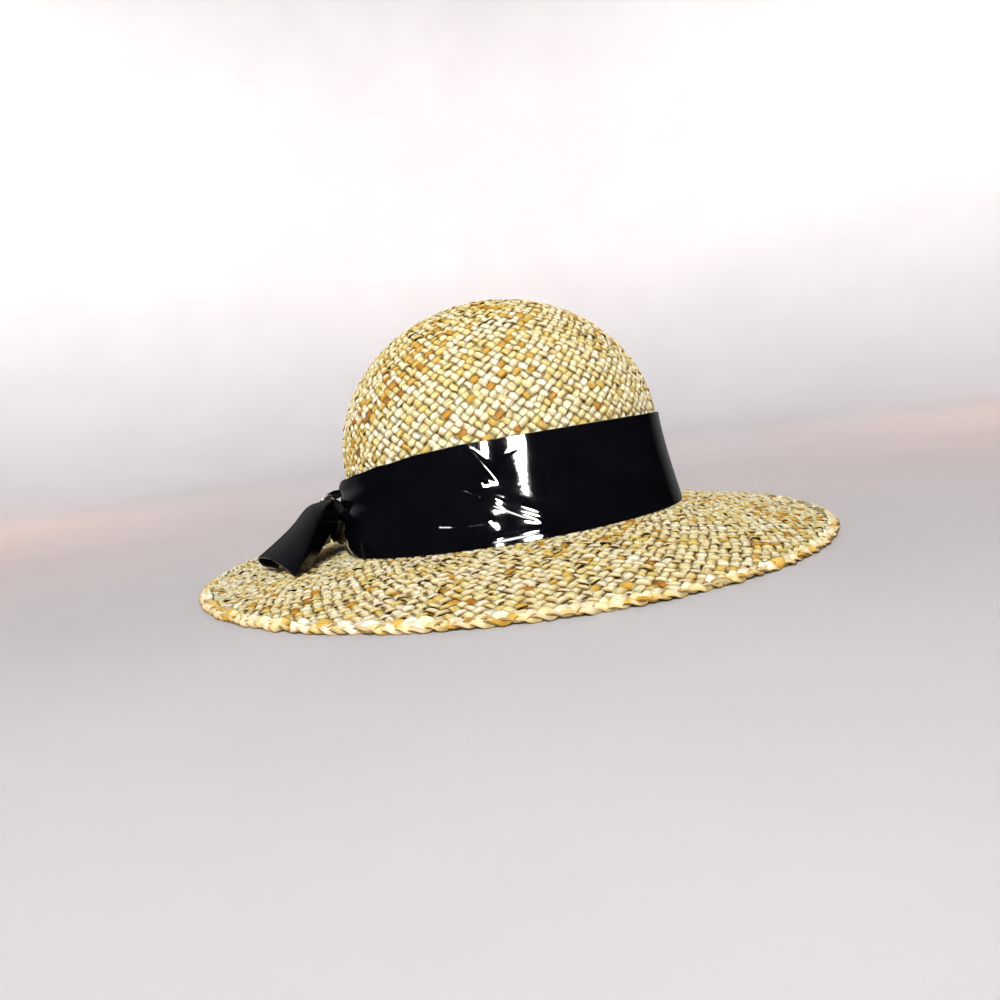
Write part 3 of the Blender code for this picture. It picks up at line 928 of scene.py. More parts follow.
def plait_strip(strand):
    """Points of one strip, side after side, with the values that the straw reads."""
    centre, up = plait_line(strand)
    bulge = evened(stretch_draws(plait_draw.normal(1.0, PLAIT_BULGE, PLAIT_TURNS * 4)))
    tone = stretch_draws(plait_draw.choice(PLAIT_TONES, PLAIT_TURNS * 2))
    twist = evened(stretch_draws(plait_draw.normal(0.0, PLAIT_TWIST, PLAIT_TURNS * 2)))
    across, lift = strip_frame(centre, up, twist)
    along = np.cumsum(np.linalg.norm(np.roll(centre, -1, axis=0) - centre, axis=1))
    depth = np.clip(-np.sin(2.0 * plait_phase(strand)), 0.0, 1.0) * PLAIT_DEPTH
    sides = []
    for side in range(PLAIT_SIDES):
        turn = 2.0 * math.pi * side / PLAIT_SIDES
        flat = math.copysign(abs(math.cos(turn)) ** PLAIT_FLATNESS, math.cos(turn))
        offset = across * flat * PLAIT_HALF_WIDTH + lift * math.sin(turn) * PLAIT_HALF_THICK
        sides.append({
            "points": centre + offset * bulge[:, None],
            "tone": tone,
            "deep": depth,
            # painted shade: darker at a strip's edges and on one of its sides
            "rim": np.full(PLAIT_COUNT, abs(math.cos(turn)) ** PLAIT_RIM),
            "shade": np.full(PLAIT_COUNT, 0.5 - 0.5 * math.cos(turn)),
            "across": np.full(PLAIT_COUNT, flat * PLAIT_HALF_WIDTH),
            "along": along,
            "seed": np.full(PLAIT_COUNT, strand * STRAND_SEED),
        })
    return sides


# %% Plait round the brim
def plait_faces():
    """Faces of all strips: each side joins the next one, all the way round."""
    here = np.arange(PLAIT_COUNT)
    there = (here + 1) % PLAIT_COUNT
    faces = []
    for strand in range(PLAIT_STRANDS):
        for side in range(PLAIT_SIDES):
            a = (strand * PLAIT_SIDES + side) * PLAIT_COUNT
            b = (strand * PLAIT_SIDES + (side + 1) % PLAIT_SIDES) * PLAIT_COUNT
            faces.append(np.stack([a + here, b + here, b + there, a + there], axis=1))
    return np.concatenate(faces).tolist()


def build_plait(name, material):
    sides = [side for strand in range(PLAIT_STRANDS) for side in plait_strip(strand)]
    joined = {key: np.concatenate([side[key] for side in sides]) for key in sides[0]}
    points = joined["points"]
    points[:, 2] = points[:, 2].clip(GROUND)
    mesh = bpy.data.meshes.new(name)
    mesh.from_pydata(points.tolist(), [], plait_faces())
    mesh.shade_smooth()
    for value in ("tone", "deep", "rim", "shade"):
        write_value(mesh, value, joined[value])
    write_place(mesh, joined["across"], joined["along"], joined["seed"])
    return add_piece(name, mesh, material)


plaited_edge = build_plait("plaited_edge", straw_look)
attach(plaited_edge, "root")
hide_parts("brim_edging")
print("plait triangles:", 2 * len(plaited_edge.data.polygons))

# %% [markdown]
# ## Patent ribbon
# The ribbon is a thin glossy vinyl. It reflects like black water, so its shape is seen
# only in its highlights: every crease counts, and the colour hardly does. The creases
# could be painted as bump, but then they would vanish at the ribbon's outline, so they
# are real mesh. The material adds a clear coat, fine dimples and faint scuffs. The band
# is pulled tight and mirrors sharply. The knot and the tails are creased all over and
# shine more softly, without the clear coat. Both finishes share one node group.

# %% The vinyl group
VINYL_CLOUDS = (55.0, 4.0, 0.55)      # patches per metre, detail and roughness of a noise
VINYL_DIMPLES = (900.0, 2.0, 0.5)
DIMPLE_SHARE = 0.10     # height of the dimples, as a share of the patches'
WORN_FROM = 0.35        # where a patch starts to look worn
WORN_TO = 0.70          # and where it is worn most


def make_vinyl_group():
    """Patches of wear and fine dimples, from a place on the hat in metres."""
    inputs = [
        ("Place", "NodeSocketVector", None),
        ("Smooth roughness", "NodeSocketFloat", 0.035),
        ("Worn roughness", "NodeSocketFloat", 0.085),
    ]
    group, start, end = new_group("vinyl_surface", inputs, ["Wear", "Roughness", "Height"])
    cloud = add_noise(group, start.outputs["Place"], *VINYL_CLOUDS)
    dimples = add_noise(group, start.outputs["Place"], *VINYL_DIMPLES)
    spread = group.nodes.new("ShaderNodeMapRange")
    feed(group, cloud, spread.inputs["Value"])
    feed(group, WORN_FROM, spread.inputs["From Min"])
    feed(group, WORN_TO, spread.inputs["From Max"])
    feed(group, start.outputs["Smooth roughness"], spread.inputs["To Min"])
    feed(group, start.outputs["Worn roughness"], spread.inputs["To Max"])
    height = add_math(group, "ADD", cloud, add_math(group, "MULTIPLY", dimples, DIMPLE_SHARE))
    for value, label in ((cloud, "Wear"), (spread.outputs["Result"], "Roughness"), (height, "Height")):
        group.links.new(value, end.inputs[label])
    return group


vinyl_group = make_vinyl_group()
print("group:", vinyl_group.name, "nodes:", len(vinyl_group.nodes))

# %% The patent materials
VINYL_BLACKS = ((0.3, (0.0040, 0.0040, 0.0068)), (0.8, (0.0080, 0.0080, 0.0110)))
VINYL_RELIEF = (0.07, 0.0010)    # strength and height of the patches and dimples


def make_patent(name, smooth, worn, coat):
    material, tree, shader = new_material(
        name, Specular_IOR_Level=0.5, Coat_Weight=coat, Coat_Roughness=0.02, Coat_IOR=1.5)
    place = tree.nodes.new("ShaderNodeTexCoord").outputs["Object"]
    vinyl = place_group(tree, vinyl_group, place, Smooth_roughness=smooth, Worn_roughness=worn)
    tint = add_ramp(tree, vinyl["Wear"], VINYL_BLACKS)
    tree.links.new(tint, shader.inputs["Base Color"])
    tree.links.new(vinyl["Roughness"], shader.inputs["Roughness"])
    add_bump(tree, shader, vinyl["Height"], *VINYL_RELIEF)
    return material


patent_look = make_patent("patent_vinyl", smooth=0.035, worn=0.085, coat=0.6)
creased_look = make_patent("creased_vinyl", smooth=0.15, worn=0.24, coat=0.0)
print("materials:", patent_look.name, creased_look.name)

# %% [markdown]
# ## Band
# The band goes once round the crown. Beside the knot it is gathered into a few folds
# that fade out towards the front, and its upper edge is pulled down there. A simulated
# cloth would find such folds by itself, but not where this ribbon has them. The folds
# are few, so each is one row of a table, and the band's height is worked out from them.

# %% Edges and gathers of the band
BAND_WIDTH = 0.0497
BAND_FOLD = 0.0050
KNOT_PRESS = 0.70       # the knot presses the gathers down to this share
GATHER_START = 5.0      # degrees from the knot where they stand up in full
GATHER_FADE = 1.3
# Columns: degrees from the knot, and how far the lower edge is pulled up and the upper
# edge down there, as shares of the width
BAND_EDGES = (
    (0.0, 0.075, 0.215),
    (8.0, 0.070, 0.200),
    (23.0, 0.025, 0.155),
    (36.0, 0.0, 0.115),
    (50.0, 0.0, 0.070),
    (67.0, 0.0, 0.020),
    (80.0, 0.0, 0.0),
    (180.0, 0.0, 0.0),
)
# Columns: share of the width where a gather starts and ends, its half width, its height
# as a share of BAND_FOLD, and the degrees from the knot that it runs
BAND_GATHERS = (
    (0.90, 0.97, 0.130, 0.90, 34.0),
    (0.70, 0.78, 0.085, 0.55, 64.0),
    (0.46, 0.55, 0.085, 1.00, 58.0),
    (0.24, 0.24, 0.080, 0.32, 50.0),
)


def table_row(table, at):
    """The row of a table at the value of its first column, blended between rows."""
    for low, high in zip(table, table[1:]):
        if at <= high[0]:
            share = max(0.0, (at - low[0]) / (high[0] - low[0]))
            smooth = share * share * (3.0 - 2.0 * share)
            return [lerp(a, b, smooth) for a, b in zip(low, high)]
    return list(table[-1])


def gather_swell(degrees, share):
    """How far a gather stands off the crown at a place on the band."""
    swell = 0.0
    for start, end, half_width, height, run in BAND_GATHERS:
        if degrees < run:
            middle = lerp(start, end, degrees / run)
            ridge = math.exp(-((share - middle) / half_width) ** 2)
            swell += BAND_FOLD * height * ridge * (1.0 - degrees / run) ** GATHER_FADE
    return swell * min(1.0, lerp(KNOT_PRESS, 1.0, degrees / GATHER_START))


middle_gather = BAND_GATHERS[2][0]
print("height of the middle gather:", round(gather_swell(GATHER_START, middle_gather), 4))

# %% Creases of the band
CREASE_END_FADE = 0.7   # how much a crease has faded at its two ends
# Columns: degrees from the knot and share of the width where each starts and ends, half
# width in metres, height in metres (negative is a hollow)
BAND_CREASES = (
    (80.0, 1.02, 89.5, 0.58, 0.0016, 0.00022),
    (93.3, 0.88, 93.7, 0.84, 0.0045, -0.00010),
    (76.5, 0.64, 84.0, 0.50, 0.0022, 0.00033),
    (84.0, 0.50, 101.0, 0.22, 0.0022, 0.00048),
    (79.0, 0.66, 85.0, 0.60, 0.0013, 0.00026),
    (85.0, 0.42, 99.0, 0.16, 0.0012, 0.00026),
    (66.0, 0.42, 73.0, 0.31, 0.0013, 0.00024),
    (66.0, 0.30, 76.0, 0.25, 0.0016, 0.00022),
    (76.0, 0.25, 86.0, 0.24, 0.0016, 0.00022),
    (82.0, 0.06, 101.0, 0.09, 0.0018, 0.00032),
    (104.0, 0.60, 109.0, 0.42, 0.0014, 0.00017),
    (109.0, 0.42, 115.0, 0.30, 0.0014, 0.00017),
    (31.0, 0.50, 52.0, 0.30, 0.0019, 0.00050),
    (40.0, 0.27, 62.0, 0.11, 0.0015, 0.00030),
    (128.0, 0.95, 137.0, 0.30, 0.0050, 0.00030),
    (205.0, 0.90, 214.0, 0.35, 0.0045, 0.00035),
    (242.0, 0.75, 262.0, 0.28, 0.0040, 0.00035),
    (286.0, 0.95, 300.0, 0.50, 0.0035, 0.00030),
)


def crease_swell(degrees, share):
    """How far the band's creases push it out at a place on it."""
    around = math.radians(1.0) * (CROWN_LENGTH + CROWN_WIDTH) / 4
    swell = 0.0
    for deg_a, share_a, deg_b, share_b, half_width, height in BAND_CREASES:
        run = Vector(((deg_b - deg_a) * around, (share_b - share_a) * BAND_WIDTH))
        here = Vector(((degrees - deg_a) * around, (share - share_a) * BAND_WIDTH))
        along = max(0.0, min(1.0, here.dot(run) / run.length_squared))
        away = (here - run * along).length / half_width
        fade = 1.0 - (2.0 * along - 1.0) ** 4 * CREASE_END_FADE
        swell += height * math.exp(-away * away) * fade
    return swell


print("creases:", len(BAND_CREASES))


# %% Points of the band
def band_point(degrees, share, off):
    """A point of the band in the crown's frame: off is its distance from the crown."""
    degrees = degrees % 360.0
    near = min(degrees, 360.0 - degrees)
    angle = math.pi + math.radians(degrees)
    _, rise, drop = table_row(BAND_EDGES, near)
    bottom = FOOT_LIFT + BAND_WIDTH * rise
    top = FOOT_LIFT + BAND_WIDTH * (1.0 - drop)
    height = lerp(bottom, top, share)
    reach = float(crown_reach(np.float64(height)))
    x = CROWN_LENGTH / 2 * reach * math.cos(angle)
    y = CROWN_WIDTH / 2 * reach * math.sin(angle)
    normal = Vector((math.cos(angle) / CROWN_LENGTH, math.sin(angle) / CROWN_WIDTH, 0.0))
    off += gather_swell(near, share) + crease_swell(degrees, share)
    return Vector((x, y, height)) + normal.normalized() * off


# Columns: first and last degrees from the knot, and the step between sections, which is
# finest where the band is creased in view
BAND_STEPS = ((-60, 24, 1.0), (24, 120, 0.5), (120, 300, 1.5))
BAND_INNER_STEPS = 12
BAND_OUTER_STEPS = 72
BAND_EDGE_BULGE = 0.006    # how far the rounded edges stand out, as a share of the width


def band_degrees():
    return [start + step * i for start, end, step in BAND_STEPS
            for i in range(round((end - start) / step))]


def band_section():
    """Section of the band: share of its width and of its wall, with rounded edges."""
    inner = [(i / BAND_INNER_STEPS, 0.0) for i in range(BAND_INNER_STEPS + 1)]
    outer = [(1.0 - i / BAND_OUTER_STEPS, 1.0) for i in range(BAND_OUTER_STEPS + 1)]
    return inner + [(1.0 + BAND_EDGE_BULGE, 0.5)] + outer + [(-BAND_EDGE_BULGE, 0.5)]


print("band sections:", len(band_degrees()), "points in each:", len(band_section()))

# %% Build the band
BAND_WALL = 0.0010
BAND_GAP = 0.0004
CREASE_ANGLE = math.radians(55)    # edges sharper than this aren't smoothed


def grid_object(name, rings, material, closed=True):
    """A closed mesh from rings of points; closed rings also join end to end."""
    count = len(rings[0])
    points = [point for ring in rings for point in ring]
    faces = []
    last = len(rings) if closed else len(rings) - 1
    for i in range(last):
        a = i * count
        b = (i + 1) % len(rings) * count
        for j in range(count):
            k = (j + 1) % count
            faces.append((a + j, a + k, b + k, b + j))
    if not closed:
        faces.append(tuple(range(count)))
        faces.append(tuple(reversed(range(last * count, last * count + count))))
    mesh = bpy.data.meshes.new(name)
    mesh.from_pydata([tuple(point) for point in points], [], faces)
    bm = bmesh.new()
    bm.from_mesh(mesh)
    bmesh.ops.recalc_face_normals(bm, faces=bm.faces)
    bm.to_mesh(mesh)
    bm.free()
    mesh.shade_smooth()
    mesh.set_sharp_from_angle(angle=CREASE_ANGLE)
    return add_piece(name, mesh, material)


def build_band(name, material):
    seat = seat_matrix()
    section = band_section()
    rings = [[seat @ band_point(degrees, share, BAND_GAP + BAND_WALL * wall)
              for share, wall in section] for degrees in band_degrees()]
    return grid_object(name, rings, material)


ribbon_band = build_band("ribbon_band", patent_look)
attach(ribbon_band, "root")
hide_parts("hatband")
print("band points:", len(ribbon_band.data.vertices))

# %% [markdown]
# ## Knot
# The ribbon is tied once at the back of the crown. A real knot is the ribbon passed
# through itself, but only its outside is ever seen. So it is modelled as a plump roll,
# a table of sections from end to end, with folds that run along it and pinch its ends.

# %% Form of the knot
KNOT_HEIGHT = 0.0260
KNOT_LENGTH = 0.0330
KNOT_DEPTH = 0.0098
KNOT_SIDE = 0.0060      # how far the knot sits from the middle of the hat's back
KNOT_LIFT = 0.0182
# Columns: place along the knot, and its height and depth there, as shares
KNOT_SECTIONS = (
    (-0.50, 0.42, 0.45),
    (-0.42, 0.78, 0.78),
    (-0.20, 0.98, 0.98),
    (0.05, 1.00, 1.00),
    (0.26, 0.94, 0.92),
    (0.42, 0.74, 0.72),
    (0.50, 0.40, 0.42),
)
# Columns: folds round the knot, how far they turn along it, and their height
KNOT_FOLDS = ((5.0, 3.0, 0.055), (9.0, -7.0, 0.03))
KNOT_LAP = (0.16, 0.10, 0.035, 0.14)    # place, slant, half width and depth of the lap


def knot_middle():
    share = KNOT_SIDE / (CROWN_WIDTH / 2)
    reach = float(crown_reach(np.float64(KNOT_LIFT)))
    face = CROWN_LENGTH / 2 * reach * math.sqrt(1.0 - share * share)
    stand_off = BAND_GAP + BAND_WALL + KNOT_PRESS * BAND_FOLD + GAP + KNOT_DEPTH / 2
    return Vector((-face - stand_off, KNOT_SIDE, KNOT_LIFT))


def knot_fold(along, angle):
    """Folds of the wrapped ribbon, as a share of the knot's own size."""
    wave = sum(math.cos(count * angle + turn * along) * height
               for count, turn, height in KNOT_FOLDS)
    place, slant, half_width, depth = KNOT_LAP
    lap = math.exp(-((along - place - slant * math.sin(angle)) / half_width) ** 2)
    return 1.0 + wave - depth * lap


print("knot's middle in the crown's frame:", [round(v, 4) for v in knot_middle()])

# %% Build the knot
KNOT_SIDES = 56
KNOT_STEPS = 44
KNOT_OUTER_LIMIT = 1.04    # folds stand no further off the crown than this share


def build_knot(name, material):
    seat = seat_matrix()
    middle = knot_middle()
    rings = []
    for step in range(KNOT_STEPS + 1):
        along = -0.5 + step / KNOT_STEPS
        _, height, depth = table_row(KNOT_SECTIONS, along)
        ring = []
        for side in range(KNOT_SIDES):
            angle = 2.0 * math.pi * side / KNOT_SIDES
            fold = knot_fold(along, angle)
            round_share = 0.5 - 0.5 * math.cos(angle)
            out = KNOT_DEPTH * depth * round_share * min(fold, KNOT_OUTER_LIMIT)
            up = KNOT_HEIGHT / 2 * height * math.sin(angle) * fold
            offset = Vector((KNOT_DEPTH / 2 - out, KNOT_LENGTH * along, up))
            ring.append(seat @ (middle + offset))
        rings.append(ring)
    return grid_object(name, rings, material, closed=False)


ribbon_knot = build_knot("ribbon_knot", creased_look)
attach(ribbon_knot, "root")
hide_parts("knot")
print("knot points:", len(ribbon_knot.data.vertices))

# %% [markdown]
# ## Tails
# Two tails leave the knot. Each is a stretch of the same ribbon, which widens from the
# folds in the knot to its full width and ends in a cut. The front one curls under
# along its far edge, so its cut end shows a narrow dark roll. A flat strip could be
# bent with a lattice or a simulation, but where it lies on the brim has to be exact. So
# a tail is a table of sections along its route, with a smooth curve through them.

# %% Routes of the tails
TAIL_WALL = 0.0010
TAIL_WIDTH = 0.0530
FRONT_TAIL_REACH = 0.0224
FRONT_TAIL_SWING = -0.0448
FRONT_TAIL_FOLD = 0.0150
# Columns: shares of the reach, the swing and the drop, the width as a share, degrees
# turned and dipped, the arch as a share of the width, and how far the far edge curls
FRONT_TAIL = (
    (0.00, 0.00, 0.00, 0.43, 12.8, -3.8, 0.03, 0.05),
    (0.165, 0.19, 0.05, 0.54, 21.1, 1.5, 0.04, 0.10),
    (0.30, 0.41, 0.18, 0.61, 25.7, 7.4, 0.05, 0.15),
    (0.50, 0.64, 0.47, 0.71, 29.0, 6.1, 0.06, 0.34),
    (0.72, 0.82, 0.73, 0.82, 34.2, 5.2, 0.05, 0.65),
    (1.00, 1.00, 1.00, 0.92, 37.4, 5.7, 0.04, 1.00),
)
BACK_TAIL_REACH = 0.0130
BACK_TAIL_SWING = -0.0225
BACK_TAIL = (
    (0.00, 0.00, 0.00, 0.39, 0.0, 0.0, 0.00, 0.0),
    (0.25, 0.00, -0.12, 0.44, 0.0, 0.0, 0.02, 0.0),
    (0.62, 0.01, -0.02, 0.47, 0.0, 1.0, 0.03, 0.0),
    (0.76, 0.10, 0.13, 0.55, 0.0, 1.0, 0.03, 0.0),
    (0.80, 0.62, 0.30, 0.92, 0.0, 1.0, 0.03, 0.0),
    (0.86, 0.82, 0.62, 1.08, 0.0, 1.0, 0.03, 0.0),
    (1.00, 1.00, 1.00, 1.18, 0.0, 0.0, 0.03, 0.0),
)
TAIL_STEPS = 48


def smooth_rows(table, steps):
    """Rows spread evenly along a table, on a smooth curve through its own rows."""
    rows = []
    last = len(table) - 1
    for step in range(steps + 1):
        place = last * step / steps
        index = min(int(place), last - 1)
        t = place - index
        before = table[max(index - 1, 0)]
        beyond = table[min(index + 2, last)]
        row = []
        for a, b, c, d in zip(before, table[index], table[index + 1], beyond):
            bend = (2.0 * a - 5.0 * b + 4.0 * c - d) * t * t
            twist = (3.0 * b - a - 3.0 * c + d) * t * t * t
            row.append(0.5 * (2.0 * b + (c - a) * t + bend + twist))
        rows.append(row)
    return rows


print("sections of a tail:", len(smooth_rows(FRONT_TAIL, TAIL_STEPS)))

# %% Where a tail lies on the brim
HALVINGS = 30           # enough to find a place on the brim to far under a micrometre


def brim_top(x, y):
    """Height of the brim's upper face at a point seen from above."""
    inset = EDGING_WIDTH + GAP
    low, high = 0.0, 1.0
    for _ in range(HALVINGS):
        share = (low + high) / 2
        along = x - CROWN_SHIFT[0] * (1.0 - share)
        along /= lerp(CROWN_LENGTH / 2, BRIM_LENGTH / 2 - inset, share)
        across = y - CROWN_SHIFT[1] * (1.0 - share)
        across /= lerp(CROWN_WIDTH / 2, BRIM_WIDTH / 2 - inset, share)
        if along * along + across * across > 1.0:
            low = share
        else:
            high = share
    ring = brim_ring(np.array([math.atan2(across, along)]), share)
    return float(ring[0, 2]) + BRIM_STRAW / 2


def tail_low(points):
    """Height at which a section just clears the brim."""
    clear = min(point.z - brim_top(point.x, point.y) for point in points)
    return TAIL_WALL / 2 + 2 * GAP - clear


print("brim's height beside the knot:", round(brim_top(-CROWN_LENGTH / 2, 0.0), 4))

# %% Sections of a tail
TAIL_ACROSS = 18
CURL_REACH = 0.0070
CURL_DROP = 0.0024
CURL_BACK = 0.0230      # how far the curled edge runs back under the face
CURL_BACK_RISE = 0.6
CURL_LEAST = 0.02
CURL_STEPS = 20
FOLD_STEPS = 6
FOLD_SLANT = 0.15       # the fold hangs a little inwards


def curl_place(share):
    """A curl's offset outwards and its drop, at a share of the whole curl."""
    angle = math.pi * min(1.0, 2.0 * share)
    back = max(0.0, 2.0 * share - 1.0)
    reach = CURL_REACH * math.sin(angle) - CURL_BACK * back
    drop = CURL_DROP * (1.0 - math.cos(angle)) * (1.0 - CURL_BACK_RISE * back)
    return reach, drop


def hanging_fold(edge, line, fold):
    """Points of a fold that hangs from the near edge of a tail, down to the brim."""
    points = []
    for i in range(1, FOLD_STEPS + 1):
        inward = line * fold * FOLD_SLANT * i / FOLD_STEPS
        hang = edge - Vector((0.0, 0.0, fold * i / FOLD_STEPS)) - inward
        hang.z = max(hang.z, min(edge.z, brim_top(hang.x, hang.y) + TAIL_WALL))
        points.append(hang)
    return points


def tail_section(middle, width, turn, dip, arch, curl, fold=0.0):
    """Points across a tail: the curl, the face, and the fold under its near edge."""
    turn = math.radians(turn)
    dip = math.radians(dip)
    flat = math.cos(dip)
    line = Vector((math.sin(turn) * flat, -math.cos(turn) * flat, -math.sin(dip)))
    lift = Vector((-math.cos(turn), -math.sin(turn), 0.0)).cross(line)
    far = middle - line * width / 2
    points = []
    for i in range(CURL_STEPS, 0, -1):
        reach, drop = curl_place(curl * i / CURL_STEPS)
        points.append(far - lift * drop - line * reach)
    for i in range(TAIL_ACROSS + 1):
        share = 2.0 * i / TAIL_ACROSS - 1.0
        bow = arch * width * (1.0 - share * share)
        points.append(middle + line * share * width / 2 + lift * bow)
    if fold > 0.0:
        points += hanging_fold(points[-1], line, fold)
    return points


print("points across the face of a tail:", TAIL_ACROSS + 1)

# %% Grids of the tails
TAIL_SEAT = 0.0008      # how far over the knot a tail leaves it
FOLD_AT_CUT = 0.02      # what is left of the fold at the cut end, as a share
# Where a tail leaves the knot: along it and towards the crown, as shares of its size
FRONT_TAIL_ROOT = (-0.35, 0.25)
BACK_TAIL_ROOT = (0.43, 0.0)


def tail_root(aside, inward):
    """Where a tail leaves the knot, just over its top."""
    top = Vector((inward * KNOT_DEPTH, aside * KNOT_LENGTH, KNOT_HEIGHT / 2 + TAIL_SEAT))
    return seat_matrix() @ (knot_middle() + top)


def tail_grid(table, root, reach, swing, fold=0.0):
    """Middle face of a tail: a list of sections, each a list of points across."""
    end = table[-1]
    tip = root + Vector((-reach, swing, -root.z))
    low = tail_low(tail_section(tip, TAIL_WIDTH * end[3], *end[4:]))
    grid = []
    for step, row in enumerate(smooth_rows(table, TAIL_STEPS)):
        out, aside, down, width, turn, dip, arch, curl = row
        middle = root + Vector((-reach * out, swing * aside, (low - root.z) * down))
        hang = fold * (1.0 + FOLD_AT_CUT - (step / TAIL_STEPS) ** 3)
        curl = max(curl, CURL_LEAST)
        grid.append(tail_section(middle, TAIL_WIDTH * width, turn, dip, arch, curl, hang))
    return grid


front_root = tail_root(*FRONT_TAIL_ROOT)
front_grid = tail_grid(FRONT_TAIL, front_root, FRONT_TAIL_REACH, FRONT_TAIL_SWING, FRONT_TAIL_FOLD)
back_grid = tail_grid(BACK_TAIL, tail_root(*BACK_TAIL_ROOT), BACK_TAIL_REACH, BACK_TAIL_SWING)
print("points across the tails:", len(front_grid[0]), "and", len(back_grid[0]))


# %% Build the tails
def grid_normal(grid, i, j):
    before = grid[max(i - 1, 0)][j]
    after = grid[min(i + 1, len(grid) - 1)][j]
    left = grid[i][max(j - 1, 0)]
    right = grid[i][min(j + 1, len(grid[0]) - 1)]
    return (after - before).cross(right - left).normalized()


def build_tail(name, grid, material):
    """A strip of ribbon: both of its faces lie half a wall off the grid."""
    rings = []
    for i, row in enumerate(grid):
        shifts = [grid_normal(grid, i, j) * TAIL_WALL / 2 for j in range(len(row))]
        upper = [point + shift for point, shift in zip(row, shifts)]
        lower = [point - shift for point, shift in zip(row, shifts)]
        rings.append(upper + lower[::-1])
    return grid_object(name, rings, material, closed=False)


for name, grid, node in (("ribbon_tail_front", front_grid, "front_tail"),
                         ("ribbon_tail_back", back_grid, "back_tail")):
    tail = build_tail(name, grid, creased_look)
    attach(tail, "root")
    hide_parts(node)
    print(name, "points:", len(tail.data.vertices))

# %% [markdown]
# ## Floor and backdrop
# The hat stands on a pale floor that curves up into a pale wall, like a paper sweep. A
# flat plane would end in a hard line behind the hat, and the curve does away with it.
# It goes all the way round, so that the hat can be looked at from every side.
# Reflections don't see the paper, so the patent ribbon mirrors a dark room with a few
# bright lights in it, as in a dim studio.

# %% The paper
# The floor's paper is darker and a little bluer than the wall's, graded up the curve: painted shade,
# darker towards the bottom.
FLOOR_COLOUR = (0.57, 0.575, 0.60)
WALL_COLOUR = (0.86, 0.84, 0.84)
FLOOR_RADIUS = 1.1
SWEEP_RADIUS = 0.5
WALL_HEIGHT = 1.9
PAPER_MOTTLE = (6.0, 5.0, 0.55)      # patches per metre, detail and roughness of a noise
PAPER_STOPS = ((0.35, grey(0.96)), (0.65, grey(1.0)))


def make_paper(name):
    material, tree, shader = new_material(name, Roughness=0.75, Specular_IOR_Level=0.2)
    place = tree.nodes.new("ShaderNodeTexCoord").outputs["Object"]
    height = tree.nodes.new("ShaderNodeSeparateXYZ")
    tree.links.new(place, height.inputs[0])
    stops = ((0.0, FLOOR_COLOUR), (SWEEP_RADIUS, WALL_COLOUR))
    paper = add_ramp(tree, height.outputs["Z"], stops)
    fibres = add_ramp(tree, add_noise(tree, place, *PAPER_MOTTLE), PAPER_STOPS)
    tree.links.new(add_mix(tree, 1.0, paper, fibres, "MULTIPLY"), shader.inputs["Base Color"])
    return material


paper_look = make_paper("pale_paper")
print("material:", paper_look.name)

# %% Floor and backdrop
FLOOR_STEPS = 6
CURVE_STEPS = 12
ROUND_STEPS = 48
WELD = 1e-5             # points closer than this become one


def sweep_profile():
    """Radius and height of the floor, the curve and the wall, from the middle out."""
    profile = [(FLOOR_RADIUS * i / FLOOR_STEPS, 0.0) for i in range(FLOOR_STEPS + 1)]
    for i in range(1, CURVE_STEPS + 1):
        angle = math.radians(90.0 * i / CURVE_STEPS)
        profile.append((FLOOR_RADIUS + SWEEP_RADIUS * math.sin(angle),
                        SWEEP_RADIUS * (1.0 - math.cos(angle))))
    return profile + [(FLOOR_RADIUS + SWEEP_RADIUS, WALL_HEIGHT)]


def build_sweep(name, material):
    """A bowl of paper: flat floor, a curve, and a wall all round."""
    profile = sweep_profile()
    bm = bmesh.new()
    rings = []
    for i in range(ROUND_STEPS + 1):
        angle = math.radians(360.0 * (i / ROUND_STEPS))
        cos, sin = math.cos(angle), math.sin(angle)
        rings.append([bm.verts.new((radius * cos, radius * sin, z)) for radius, z in profile])
    for a, b in zip(rings, rings[1:]):
        for j in range(len(profile) - 1):
            bm.faces.new((a[j], b[j], b[j + 1], a[j + 1]))
    bmesh.ops.remove_doubles(bm, verts=bm.verts, dist=WELD)
    bmesh.ops.recalc_face_normals(bm, faces=bm.faces)
    mesh = bpy.data.meshes.new(name)
    bm.to_mesh(mesh)
    bm.free()
    mesh.shade_smooth()
    return add_piece(name, mesh, material)


sweep = build_sweep("paper_sweep", paper_look)
sweep.visible_glossy = False
print("paper faces:", len(sweep.data.polygons))

# %% [markdown]
# ## Lights
# Plain soft light shapes the straw, and two warm lights from behind give its limbs an
# orange edge. The ribbon needs other light: three bright shapes that only gloss sees
# give it clear white marks, which a large soft light would turn into a grey haze. Two
# more lights are turned towards the wall. One light for all of it would be simpler, but
# the marks on the ribbon and the shade of the straw couldn't be set apart.

# %% Lights
HAT_MIDDLE = (0.0, 0.0, 0.06)
WINDOW_WHITE = (1.0, 1.0, 0.95)
WARM_ORANGE = (1.0, 0.32, 0.05)
COOL_WHITE = (0.97, 0.985, 1.0)
